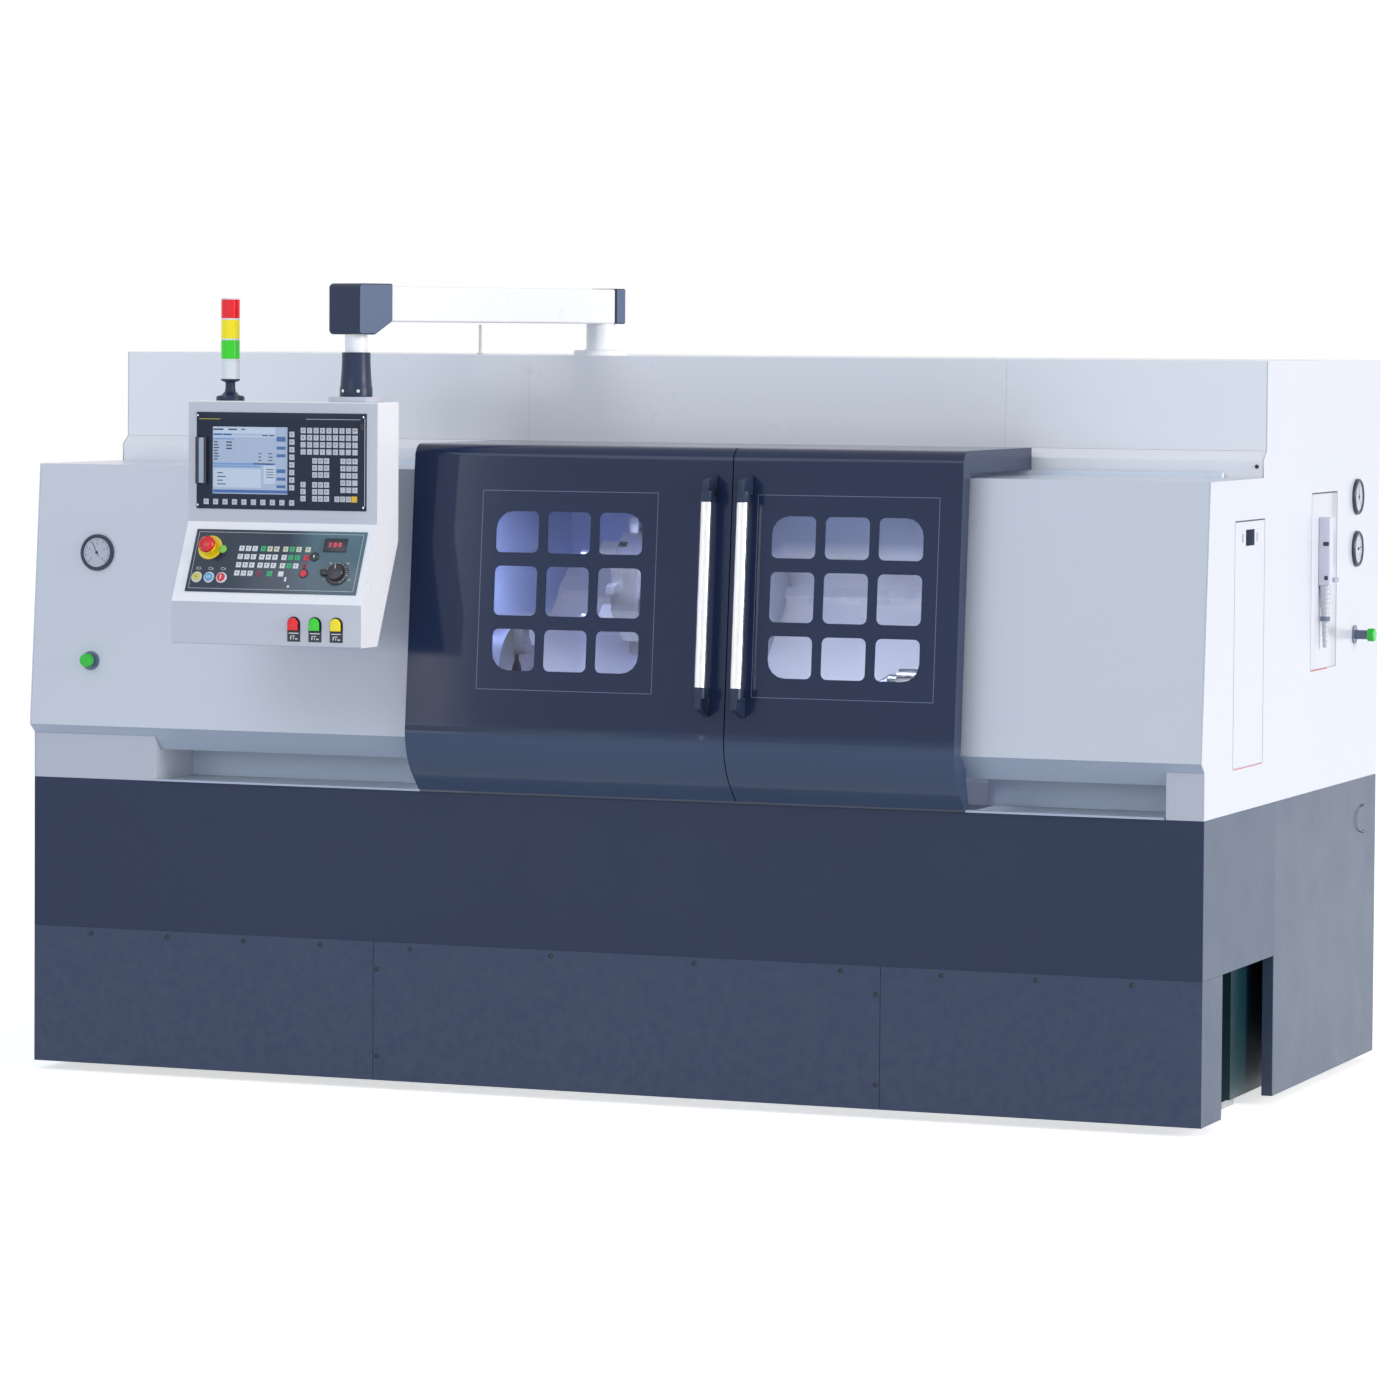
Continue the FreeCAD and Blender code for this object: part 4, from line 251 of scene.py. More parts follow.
# %% Node group helpers
def start_group(name, inputs, outputs):
    group = bpy.data.node_groups.new(name, "ShaderNodeTree")
    for label, kind, value in inputs:
        socket = group.interface.new_socket(name=label, in_out="INPUT", socket_type="NodeSocket" + kind)
        socket.default_value = value
    for label, kind in outputs:
        group.interface.new_socket(name=label, in_out="OUTPUT", socket_type="NodeSocket" + kind)
    return group, add_node(group, "NodeGroupInput"), add_node(group, "NodeGroupOutput")


def noise_in(tree, vector, scale, detail=3.0, roughness=0.5):
    noise = add_node(tree, "ShaderNodeTexNoise")
    noise.inputs["Detail"].default_value = detail
    noise.inputs["Roughness"].default_value = roughness
    tree.links.new(vector, noise.inputs["Vector"])
    feed(tree, scale, noise.inputs["Scale"])
    return noise.outputs["Fac"]


def remap(tree, value, low, high, to_low, to_high):
    """Stretch one span of a value to another; each bound is a number or a socket."""
    node = add_node(tree, "ShaderNodeMapRange")
    tree.links.new(value, node.inputs["Value"])
    for label, bound in zip(("From Min", "From Max", "To Min", "To Max"), (low, high, to_low, to_high)):
        feed(tree, bound, node.inputs[label])
    return node.outputs["Result"]


def mix_colour(tree, factor, first, second):
    node = add_node(tree, "ShaderNodeMix", data_type="RGBA")
    for value, slot in ((factor, 0), (first, 6), (second, 7)):
        feed(tree, value, node.inputs[slot])
    return node.outputs[2]


def own_spot(tree):
    """The place on the piece itself, in metres, so that a pattern moves with it."""
    return add_node(tree, "ShaderNodeTexCoord").outputs["Object"]


def split(tree, spot):
    parts = add_node(tree, "ShaderNodeSeparateXYZ")
    tree.links.new(spot, parts.inputs[0])
    return parts.outputs


def scaled(tree, colour, gain):
    node = add_node(tree, "ShaderNodeVectorMath", operation="SCALE")
    feed(tree, colour, node.inputs[0])
    feed(tree, gain, node.inputs["Scale"])
    return node.outputs[0]


print("helpers for node groups are ready")

# %% [markdown]
# ## Drifting tone and settled dust
#
# A sprayed coat is never quite even, and dust settles near the floor. A broad noise makes the tint
# drift by a few hundredths, and a fine one breaks up the dust, which fades out with height.

# %% Tone group
def build_tone_group():
    group, inside, out = start_group(
        "tone_and_dust",
        [("Tint", "Color", (0.5, 0.5, 0.5, 1)), ("Drift", "Float", 0.06), ("Dust", "Float", 0.1),
         ("Dust top", "Float", 0.5)],
        [("Colour", "Color")])
    spot = own_spot(group)
    cloud = remap(group, noise_in(group, spot, 1.7, 4.0), 0.3, 0.7, -1.0, 1.0)
    gain = reckon(group, "MULTIPLY_ADD", cloud, inside.outputs["Drift"], 1.0)
    shaded = scaled(group, inside.outputs["Tint"], gain)
    low = remap(group, split(group, spot)["Z"], 0.0, inside.outputs["Dust top"], 1.0, 0.0)
    fine = remap(group, noise_in(group, spot, 38.0, 5.0, 0.65), 0.35, 0.75, 0.0, 1.0)
    broken = reckon(group, "MULTIPLY", low, fine)
    mask = reckon(group, "MULTIPLY", broken, inside.outputs["Dust"], clamp=True)
    dusty = mix_colour(group, mask, shaded, (0.52, 0.51, 0.49, 1))
    group.links.new(dusty, out.inputs["Colour"])
    return group


tone_group = build_tone_group()
print("tone group nodes:", len(tone_group.nodes))

# %% [markdown]
# ## Orange peel, moulded skin and cast skin
#
# These differ only in scale. One noise gives the height of the grain, and a broader one smears the
# roughness between two values, as wiping hands do.

# %% Grain group
def build_grain_group():
    group, inside, out = start_group(
        "fine_grain",
        [("Scale", "Float", 400.0), ("Smooth", "Float", 0.2), ("Rough", "Float", 0.3)],
        [("Height", "Float"), ("Roughness", "Float")])
    spot = own_spot(group)
    height = noise_in(group, spot, inside.outputs["Scale"], 2.0, 0.45)
    smear = noise_in(group, spot, 5.5, 6.0, 0.6)
    rough = remap(group, smear, 0.3, 0.72, inside.outputs["Smooth"], inside.outputs["Rough"])
    group.links.new(height, out.inputs["Height"])
    group.links.new(rough, out.inputs["Roughness"])
    return group


grain_group = build_grain_group()
print("grain group nodes:", len(grain_group.nodes))

# %% [markdown]
# ## Brushed, ground and turned metal
#
# A tool leaves lines, so the noise is drawn out: the place on the piece is multiplied by a stretch that
# is small along the lines and large across them.

# %% Line group
def build_line_group():
    group, inside, out = start_group(
        "drawn_lines",
        [("Stretch", "Vector", (1.0, 1.0, 1.0)), ("Tint", "Color", (0.6, 0.6, 0.6, 1)),
         ("Smooth", "Float", 0.2), ("Rough", "Float", 0.4)],
        [("Colour", "Color"), ("Height", "Float"), ("Roughness", "Float")])
    stretched = add_node(group, "ShaderNodeVectorMath", operation="MULTIPLY")
    group.links.new(own_spot(group), stretched.inputs[0])
    group.links.new(inside.outputs["Stretch"], stretched.inputs[1])
    lines = noise_in(group, stretched.outputs[0], 1.0, 4.0, 0.6)
    shaded = scaled(group, inside.outputs["Tint"], remap(group, lines, 0.3, 0.7, 0.86, 1.06))
    rough = remap(group, lines, 0.3, 0.7, inside.outputs["Smooth"], inside.outputs["Rough"])
    group.links.new(shaded, out.inputs["Colour"])
    group.links.new(lines, out.inputs["Height"])
    group.links.new(rough, out.inputs["Roughness"])
    return group


line_group = build_line_group()
print("finish groups:", [group.name for group in bpy.data.node_groups])

# %% [markdown]
# ## Materials made from the groups
#
# A powder-coated cover, a moulded plastic part and a cast surface are the same recipe with other
# numbers: tone, grain for roughness and bump, and for paint a clear gloss on top.

# %% Recipe for coated surfaces
def plug_group(tree, group, **values):
    node = add_node(tree, "ShaderNodeGroup")
    node.node_tree = group
    for label, value in values.items():
        node.inputs[label.replace("_", " ")].default_value = value
    return node


def finish_shader(material, colour, rough, height, bump, distance):
    """The Principled shader and its bump, with colour, roughness and height linked in."""
    tree = material.node_tree
    shader = add_node(tree, "ShaderNodeBsdfPrincipled")
    output = add_node(tree, "ShaderNodeOutputMaterial")
    bumps = add_node(tree, "ShaderNodeBump")
    bumps.inputs["Strength"].default_value = bump
    bumps.inputs["Distance"].default_value = distance
    tree.links.new(colour, shader.inputs["Base Color"])
    tree.links.new(rough, shader.inputs["Roughness"])
    tree.links.new(height, bumps.inputs["Height"])
    tree.links.new(bumps.outputs[0], shader.inputs["Normal"])
    tree.links.new(shader.outputs[0], output.inputs["Surface"])
    return shader


def coated(name, tint, smooth, rough, drift=0.03, dust=0.0, dust_top=0.9, peel=420.0, bump=0.06,
           coat=0.0, distance=0.0003, ior=1.5):
    """Paint, powder coat or moulded plastic."""
    material = new_material(name)
    tree = material.node_tree
    tone = plug_group(tree, tone_group, Tint=(*tint, 1), Drift=drift, Dust=dust, Dust_top=dust_top)
    grain = plug_group(tree, grain_group, Scale=peel, Smooth=smooth, Rough=rough)
    shader = finish_shader(material, tone.outputs["Colour"], grain.outputs["Roughness"],
                           grain.outputs["Height"], bump, distance)
    shader.inputs["Coat Weight"].default_value = coat
    shader.inputs["Coat Roughness"].default_value = 0.06
    shader.inputs["IOR"].default_value = ior
    return material


print("recipe for coats is ready")

# %% [markdown]
# ## Changing a coat's tint along an axis
#
# A cover in two colours could be cut in two, but it is one sheet. So the tint itself changes with the
# place on the piece: at a height, or between two planes.

# %% Tints that change with the place
def tone_of(material):
    """The node in a material that carries its tone group."""
    return next(node for node in material.node_tree.nodes
                if node.type == "GROUP" and node.node_tree == tone_group)


def two_tone(name, low_tint, high_tint, level, smooth, rough, ior=1.4, bump=0.06, blur=0.0002):
    """Paint with one colour below a height and another above it, a sharp edge or a soft one."""
    material = coated(name, low_tint, smooth, rough, bump=bump, ior=ior)
    tree = material.node_tree
    mask = remap(tree, split(tree, own_spot(tree))["Z"], level - blur, level + blur, 0.0, 1.0)
    tint = mix_colour(tree, mask, (*low_tint, 1), (*high_tint, 1))
    tree.links.new(tint, tone_of(material).inputs["Tint"])
    return material


def tint_zone(material, tint, axis, low, high, inside=True):
    """Gives a paint another tint between two planes, or on both sides of them."""
    tree = material.node_tree
    socket = tone_of(material).inputs["Tint"]
    offset = reckon(tree, "SUBTRACT", split(tree, own_spot(tree))[axis], (low + high) / 2)
    reach = (high - low) / 2
    away = reckon(tree, "ABSOLUTE", offset)
    mask = remap(tree, away, reach - 0.0003, reach, float(inside), 1.0 - inside)
    rest = socket.links[0].from_socket if socket.links else tuple(socket.default_value)
    tree.links.new(mix_colour(tree, mask, rest, (*tint, 1)), socket)


print("tint recipes are ready")

# %% [markdown]
# ## Lenses and bare metal
#
# A lens is the plastic recipe with a light of its own. Bare metal takes the line group in place of the
# tone, and its shader is fully metallic.

# %% Recipes for lenses and metal
def glowing(name, tint, glow, strength, smooth=0.1, rough=0.2):
    """A lit lens: moulded plastic with a light of its own, a little brighter here and there."""
    material = coated(name, tint, smooth, rough)
    tree = material.node_tree
    shader = next(node for node in tree.nodes if node.type == "BSDF_PRINCIPLED")
    tone = plug_group(tree, tone_group, Tint=(*glow, 1), Drift=0.04, Dust=0.0, Dust_top=1.0)
    tree.links.new(tone.outputs["Colour"], shader.inputs["Emission Color"])
    shader.inputs["Emission Strength"].default_value = strength
    return material


def bare_metal(name, tint, stretch, smooth, rough, bump=0.1, distance=0.0002):
    """Brushed, ground or turned metal: lines run along the axis with the smallest stretch."""
    material = new_material(name)
    tree = material.node_tree
    lines = plug_group(tree, line_group, Stretch=stretch, Tint=(*tint, 1), Smooth=smooth, Rough=rough)
    shader = finish_shader(material, lines.outputs["Colour"], lines.outputs["Roughness"],
                           lines.outputs["Height"], bump, distance)
    shader.inputs["Metallic"].default_value = 1.0
    return material


print("recipes for lenses and metal are ready")

# %% [markdown]
# ## Paints in zones
#
# Most covers have one coat. Where light from close by would fall short or tint a stretch, light and shade
# are painted into the coat there, between two planes: the chin over the toe recess carries a darker, bluer
# painted shade, the recess behind it a paler, bluer painted light, the low rail and the band a painted
# shadow under the closed doors, and the covers on the side walls painted light, a little lighter than
# those in front. The doors' lower band, the roof box and the toe blocks carry painted light and shade of
# their own.

# %% Paints of the covers
pale_tint = (0.68, 0.705, 0.765)
chin_painted_shade = (0.46, 0.52, 0.62)
dark_tint = (0.023, 0.037, 0.080)
blue_painted_light = (0.83, 0.91, 1.0)
base_top = 0.812
recess_light_zone, chin_shade_zone = (0.8035, 0.8965), (0.897, 0.959)
low_rail_zone = (0.78, 0.84)
under_door_shadow_zone = (-0.508, 1.037)
wall_zone = (-1.6745, 1.6745)
pale_paint = coated("pale_cover_paint", pale_tint, 0.28, 0.30, 0.005, coat=0.2, bump=0.006)
hood_paint = coated("hood_cover_paint", pale_tint, 0.28, 0.30, 0.005, coat=0.2, bump=0.006)
# painted shade: the chin over the toe recess takes a darker, bluer tint
tint_zone(hood_paint, chin_painted_shade, "Z", *chin_shade_zone)
# painted light: the back of the toe recess takes a paler, bluer tint
tint_zone(hood_paint, blue_painted_light, "Z", *recess_light_zone)
dark_paint = coated("dark_cover_paint", (0.046, 0.066, 0.122), 0.30, 0.38, 0.02, dust=0.05, bump=0.03,
                    ior=1.34)
# painted light: the dark covers on the side walls, which face the key lamp, take a lighter copy of the dark
# paint
side_painted_light_tint = (0.055, 0.085, 0.140)
side_dark_painted_light = coated("side_dark_painted_light", side_painted_light_tint, 0.30, 0.38, 0.02, dust=0.05, bump=0.03,
                         ior=1.45)
# painted light: below the bend the doors' lower band takes a paler tint than their face above
door_paint_with_painted_light = two_tone("door_gloss_with_painted_light", (0.044, 0.073, 0.140), (0.019, 0.032, 0.080), 0.985, 0.08, 0.12,
                      1.35, 0.012, 0.02)
band_paint = two_tone("band_paint", dark_tint, pale_tint, base_top - 0.0005, 0.28, 0.36, 1.34, 0.015)
# painted shadow: the band's pale deck top is dark under the closed doors
tint_zone(band_paint, dark_tint, "X", *under_door_shadow_zone)
# painted light on the side faces of the kick panels and the band, beyond the side walls' planes
for material in (dark_paint, band_paint):
    tint_zone(material, side_painted_light_tint, "X", *wall_zone, inside=False)
# painted shade: a darker copy of the pale cover paint on the toe blocks under the hoods' chin
toe_painted_shade = coated("toe_cover_painted_shade", (0.535, 0.550, 0.625), 0.27, 0.30, 0.005, coat=0.2, bump=0.012)
# painted light: a paler copy of the pale cover paint, on the roof box and on the toe blocks' right faces
pale_painted_light = coated("pale_cover_painted_light", (0.93, 0.935, 0.965), 0.27, 0.30, 0.005, coat=0.2, bump=0.012)
rail_paint = coated("door_rail_paint", (0.46, 0.52, 0.64), 0.27, 0.30, 0.005, coat=0.2, bump=0.012)
# painted shadow: the rail's low strip is dark under the closed doors
tint_zone(rail_paint, dark_tint, "X", *under_door_shadow_zone)
# painted light: outside its low strip the rail takes the same paler, bluer tint
tint_zone(rail_paint, blue_painted_light, "Z", *low_rail_zone, inside=False)
rear_paint = two_tone("rear_paint", dark_tint, pale_tint, base_top, 0.28, 0.38, 1.34, 0.015)
chamber_tint = (0.84, 0.85, 0.90)
inner_paint = coated("chamber_paint", chamber_tint, 0.3, 0.42, 0.02)
bed_paint = two_tone("bed_paint", (0.006, 0.034, 0.046), (0.76, 0.77, 0.83), 0.82, 0.32, 0.46)
way_paint = coated("way_cover_satin", (0.74, 0.76, 0.82), 0.22, 0.34, 0.02, bump=0.03)
iron_paint = coated("machine_iron_paint", (0.40, 0.43, 0.52), 0.35, 0.5, 0.04, peel=220.0, bump=0.2)
print("paints:", len([m for m in bpy.data.materials if "paint" in m.name]))

# %% [markdown]
# ## Paint of the chamber
#
# Behind the panes the walls are pale low down and blue-grey under the roof, and the blue-grey reaches
# lower at the headstock's end. The edge between the two is a height that depends on the place along X.

# %% Chamber paint
def tint_chamber(material):
    tree = material.node_tree
    spot = split(tree, own_spot(tree))
    left = remap(tree, spot["X"], -0.25, 0.10, 1.0, 0.0)
    edge = remap(tree, left, 0.0, 1.0, 1.44, 1.24)
    high = remap(tree, reckon(tree, "SUBTRACT", spot["Z"], edge), -0.02, 0.02, 0.0, 1.0)
    upper = mix_colour(tree, left, (0.40, 0.46, 0.63, 1), (0.36, 0.44, 0.74, 1))
    tree.links.new(mix_colour(tree, high, (*chamber_tint, 1), upper), tone_of(material).inputs["Tint"])


tint_chamber(inner_paint)
print("chamber paint nodes:", len(inner_paint.node_tree.nodes))

# %% [markdown]
# ## Metals, plastics and lit lenses
#
# Each of these is one line: a name, a tint, and how smooth and how rough the surface gets. Metals also
# say along which axis their lines run, and lenses how much they shine by themselves.

# %% Metals
ground_steel = bare_metal("ground_steel", (0.62, 0.63, 0.65), (3, 400, 400), 0.16, 0.32)
turned_steel = bare_metal("turned_steel", (0.50, 0.51, 0.55), (240, 12, 12), 0.30, 0.46)
zinc_steel = bare_metal("zinc_steel", (0.58, 0.59, 0.61), (90, 90, 90), 0.3, 0.5)
tube_metal = bare_metal("grab_tube_metal", (0.86, 0.87, 0.89), (300, 300, 2), 0.26, 0.34, 0.02)
chrome = bare_metal("polished_metal", (0.72, 0.73, 0.75), (60, 60, 60), 0.08, 0.16)
print("materials so far:", len(bpy.data.materials))

# %% Plastics, rubber and films
boom_white = coated("boom_white_coat", (0.93, 0.94, 0.96), 0.26, 0.30, 0.004, coat=0.2, bump=0.01)
boom_dark = coated("boom_dark_coat", (0.026, 0.040, 0.080), 0.30, 0.36, 0.02, bump=0.02, ior=1.32)
# painted light: a lighter copy of the dark boom coat for faces that look at the key lamp
boom_side = coated("boom_side_coat", (0.110, 0.152, 0.240), 0.30, 0.36, 0.02, bump=0.02, ior=1.42)
case_paint = coated("console_case_paint", (0.58, 0.59, 0.655), 0.27, 0.31, 0.005, coat=0.2, bump=0.012)
# painted light: a whiter copy of the case paint for faces that look at the key lamp
case_painted_light = coated("console_side_painted_light", (0.93, 0.93, 0.95), 0.27, 0.31, 0.005, coat=0.2, bump=0.012)
frame_plastic = coated("display_frame_plastic", (0.018, 0.027, 0.050), 0.32, 0.38, 0.02, peel=900.0,
                       ior=1.28)
key_film = coated("key_film", (0.56, 0.59, 0.63), 0.32, 0.44, 0.03, peel=1500.0)
key_white = coated("key_white", (0.76, 0.79, 0.80), 0.3, 0.4, 0.02, peel=1500.0)
key_cream = coated("key_cream", (0.66, 0.68, 0.50), 0.3, 0.4, 0.03, peel=1500.0)
key_green = coated("key_green", (0.03, 0.44, 0.17), 0.3, 0.4, 0.03, peel=1500.0)
key_red = coated("key_red", (0.78, 0.03, 0.06), 0.3, 0.4, 0.03, peel=1500.0)
key_plum = coated("key_plum", (0.20, 0.03, 0.07), 0.3, 0.4, 0.03, peel=1500.0)
key_amber = coated("key_amber", (0.85, 0.50, 0.03), 0.3, 0.4, 0.03, peel=1500.0)
black_plastic = coated("black_plastic", (0.014, 0.016, 0.024), 0.26, 0.40, 0.03, peel=900.0)
grey_plastic = coated("grey_plastic", (0.42, 0.46, 0.55), 0.3, 0.42, 0.03, peel=900.0)
red_plastic = coated("red_plastic", (0.72, 0.012, 0.018), 0.16, 0.26, 0.03, peel=900.0)
yellow_plastic = coated("yellow_plastic", (0.88, 0.68, 0.01), 0.22, 0.32, 0.03, peel=900.0)
yellow_soft = coated("yellow_soft_plastic", (0.66, 0.62, 0.12), 0.24, 0.34, 0.03, peel=900.0)
lime_plastic = coated("lime_plastic", (0.22, 0.62, 0.06), 0.22, 0.32, 0.03, peel=900.0)
green_plastic = coated("green_plastic", (0.03, 0.60, 0.05), 0.18, 0.28, 0.03, peel=900.0)
blue_plastic = coated("blue_plastic", (0.10, 0.36, 0.70), 0.2, 0.3, 0.03, peel=900.0)
pump_plastic = coated("pump_grey_plastic", (0.69, 0.71, 0.81), 0.3, 0.38, 0.02, peel=800.0)
cup_plastic = coated("oil_cup_plastic", (0.60, 0.62, 0.68), 0.24, 0.3, 0.02, peel=800.0)
white_plastic = coated("white_plastic", (0.80, 0.82, 0.85), 0.26, 0.36, 0.02, peel=800.0)
gauge_rim = coated("gauge_rim_black", (0.042, 0.052, 0.082), 0.3, 0.4, 0.03, peel=700.0, ior=1.4)
dial_white = coated("gauge_dial_white", (0.52, 0.54, 0.62), 0.3, 0.36, 0.01, coat=0.4)
mark_black = coated("mark_ink", (0.012, 0.014, 0.03), 0.4, 0.5, 0.03)
mark_white = coated("mark_white", (0.80, 0.83, 0.86), 0.4, 0.5, 0.02)
grey_dark = coated("grey_dark_plastic", (0.22, 0.25, 0.33), 0.3, 0.42, 0.03, peel=900.0)
# one coat for the regulator stems and the pump ring, and for the painted highlight round the window panels
slate_and_highlight = coated("slate_and_highlight_paint", (0.16, 0.20, 0.30), 0.14, 0.2, 0.02)
seam_grey = coated("seam_shade_paint", (0.30, 0.32, 0.38), 0.34, 0.44, 0.02)
latch_rubber = coated("latch_rubber", (0.018, 0.026, 0.050), 0.6, 0.7, 0.03, peel=500.0, ior=1.15)
print("materials so far:", len(bpy.data.materials))

# %% Lit lenses and lamps
lamp_red = glowing("lamp_lens_red", (0.74, 0.004, 0.012), (0.9, 0.004, 0.01), 0.16)
lamp_yellow = glowing("lamp_lens_yellow", (0.86, 0.72, 0.002), (0.9, 0.75, 0.0), 0.16)
lamp_green = glowing("lamp_lens_green", (0.03, 0.62, 0.015), (0.03, 0.7, 0.01), 0.12)
digit_red = glowing("digit_red", (0.5, 0.02, 0.03), (1.0, 0.10, 0.11), 0.9)
work_light = glowing("work_light_tube", (0.8, 0.82, 0.9), (0.91, 0.94, 1.0), 52.0)
print("materials so far:", len(bpy.data.materials))

# %% [markdown]
# ## The machine panel's film
#
# The film of the machine panel is dark, with a paler teal field at its right that is strongest at the
# top. Two masks, one along X and one along Z, are multiplied for that field.

# %% Film of the machine panel
def make_panel_film():
    material = coated("machine_panel_film", (0.02, 0.04, 0.07), 0.2, 0.3, 0.02, peel=1200.0, bump=0.03)
    tree = material.node_tree
    spot = split(tree, own_spot(tree))
    right = remap(tree, spot["X"], -0.74, -0.66, 0.0, 1.0)
    top = remap(tree, spot["Z"], 1.36, 1.52, 0.35, 1.0)
    field = reckon(tree, "MULTIPLY", right, top)
    tint = mix_colour(tree, field, (0.016, 0.034, 0.064, 1), (0.085, 0.17, 0.215, 1))
    tree.links.new(tint, tone_of(material).inputs["Tint"])
    return material


panel_film = make_panel_film()
print("panel film nodes:", len(panel_film.node_tree.nodes))

# %% [markdown]
# ## Panes
#
# The door panes are thin clear plastic. A full bend of light would show them as thick blocks of glass,
# so the bend is low, and a faint tint stands for the sheet's own colour.

# %% Panes
def make_glazing():
    """Clear plastic with a faint violet tint and a low bend of light, as a thin pane shows."""
    material = new_material("window_pane")
    tree = material.node_tree
    tone = plug_group(tree, tone_group, Tint=(0.965, 0.97, 1.0, 1), Drift=0.02, Dust=0.0, Dust_top=1.0)
    grain = plug_group(tree, grain_group, Scale=60.0, Smooth=0.02, Rough=0.07)
    shader = finish_shader(material, tone.outputs["Colour"], grain.outputs["Roughness"],
                           grain.outputs["Height"], 0.02, 0.0002)
    shader.inputs["Transmission Weight"].default_value = 1.0
    shader.inputs["IOR"].default_value = 1.2
    return material


glazing = make_glazing()
print("pane material:", glazing.name)

# %% [markdown]
# ## Screen colours
#
# A lit screen is never quite matt or dark. Each of its flat inks is a lens material that shines a
# little by itself, so the picture stays readable in the shade of its frame.

# %% Screen colours
def screen_ink(name, tint):
    """A patch of a lit screen: its colour shines a little by itself."""
    return glowing(name, tint, tint, 0.12, 0.16, 0.24)


screen_ground = screen_ink("screen_ground", (0.37, 0.45, 0.58))
screen_pale = screen_ink("screen_pale", (0.50, 0.58, 0.69))
screen_blue = screen_ink("screen_blue", (0.05, 0.13, 0.36))
screen_mid = screen_ink("screen_mid_blue", (0.16, 0.30, 0.58))
screen_dark = screen_ink("screen_dark_marks", (0.03, 0.05, 0.10))
print("materials in all:", len(bpy.data.materials))

# %% [markdown]
# ## Folded covers
#
# Sheet metal has no knife edges: the brake leaves a small radius on each fold, and that radius catches
# the light as a fine line. The construction model keeps its folds sharp, so each cover is copied, its
# loose triangles are joined into whole faces, and only the long outer folds are bevelled. The cut edges
# of the sheet, which are as thin as the metal, stay as they are.

# %% Dress a cover
scene_things = bpy.context.scene.collection.objects
least_fold = math.radians(20)
shortest_fold = 0.02
cut_edge = 0.006


def finish_mesh(form, name, material, place=None, sharp=32.0):
    """Turn a bmesh into an object at the origin, with its place in its mesh."""
    mesh = bpy.data.meshes.new(name)
    form.to_mesh(mesh)
    form.free()
    if place is not None:
        mesh.transform(place)
    mesh.materials.append(material)
    mesh.shade_smooth()
    mesh.set_sharp_from_angle(angle=math.radians(sharp))
    piece = bpy.data.objects.new(name, mesh)
    scene_things.link(piece)
    return piece


def slimness(face):
    """Rough width of a face: its area over its longest edge."""
    return face.calc_area() / max(edge.calc_length() for edge in face.edges)


def copy_of(node):
    """A bmesh of a construction node with its triangles joined into whole faces."""
    form = bmesh.new()
    form.from_mesh(nodes[node].data)
    bmesh.ops.remove_doubles(form, verts=form.verts, dist=1e-6)
    bmesh.ops.dissolve_limit(form, angle_limit=math.radians(0.4), verts=form.verts, edges=form.edges)
    return form


def dressed(node, body, material, fold=0.0016, steps=2):
    """Copy a cover, round its long outer folds and let the copy stand for it."""
    form = copy_of(node)
    folds = [edge for edge in form.edges
             if edge.is_manifold and edge.calc_face_angle_signed(0) > least_fold
             and edge.calc_length() > shortest_fold
             and all(slimness(face) > cut_edge for face in edge.link_faces)]
    bmesh.ops.bevel(form, geom=folds, offset=fold, segments=steps, profile=0.5, affect="EDGES",
                    material=-1, clamp_overlap=True)
    piece = finish_mesh(form, node + "_cover", material)
    weigh = piece.modifiers.new("even_faces", "WEIGHTED_NORMAL")
    weigh.keep_sharp = True
    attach(piece, body)
    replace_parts(piece, node)
    return len(folds)


def paint_bright_faces(name, material, upward=2.0):
    """Gives the faces of a piece that look to the right, or upwards too, their own paler paint: painted
    light.
    """
    mesh = bpy.data.objects[name].data
    mesh.materials.append(material)
    for face in mesh.polygons:
        if face.normal.x > 0.9 or face.normal.z > upward:
            face.material_index = 1


covers = {"side_walls": pale_paint, "hood_left": hood_paint, "hood_right": hood_paint,
          "toe_blocks": toe_painted_shade, "roof_box_panels": pale_painted_light, "front_band": band_paint,
          "kick_panels": dark_paint, "side_base_panels": side_dark_painted_light, "rear_panels": rear_paint}
for node, material in covers.items():
    print(node, "folds rounded:", dressed(node, "machine", material))
for side in ("left", "right"):
    print("door", side, "folds rounded:", dressed("door_" + side, "door_" + side, door_paint_with_painted_light, 0.0012))
    dressed("window_panel_" + side, "door_" + side, door_paint_with_painted_light, 0.0008)
# painted light on the toe blocks' right faces, which look at the key lamp
paint_bright_faces("toe_blocks_cover", pale_painted_light)

# %% [markdown]
# ## Places to build on
#
# A fitting is easiest to model flat, in millimetres, with its face up. Each carrier below gives the
# matrix that scales such a model to metres and stands it on its own face of the machine: the leaning
# front of the hoods, the right wall, the display, the sloping desk and the upright strip below it.

# %% Carriers
def facing(origin, right, up):
    """A place in millimetres: X to the right, Y up, Z out of the face."""
    right, up = Vector(right), Vector(up)
    turn = Matrix((right, up, right.cross(up))).transposed().to_4x4()
    return Matrix.Scale(0.001, 4) @ Matrix.Translation(origin) @ turn


def at(place, x, y, z=0.0, turn=0.0):
    return place @ Matrix.Translation((x, y, z)) @ Matrix.Rotation(math.radians(turn), 4, "Z")


def front_facing(origin, lean=0.0):
    """A place on a face that looks to the front and leans back by an angle."""
    return facing(origin, (1, 0, 0), (0, math.sin(lean), math.cos(lean)))


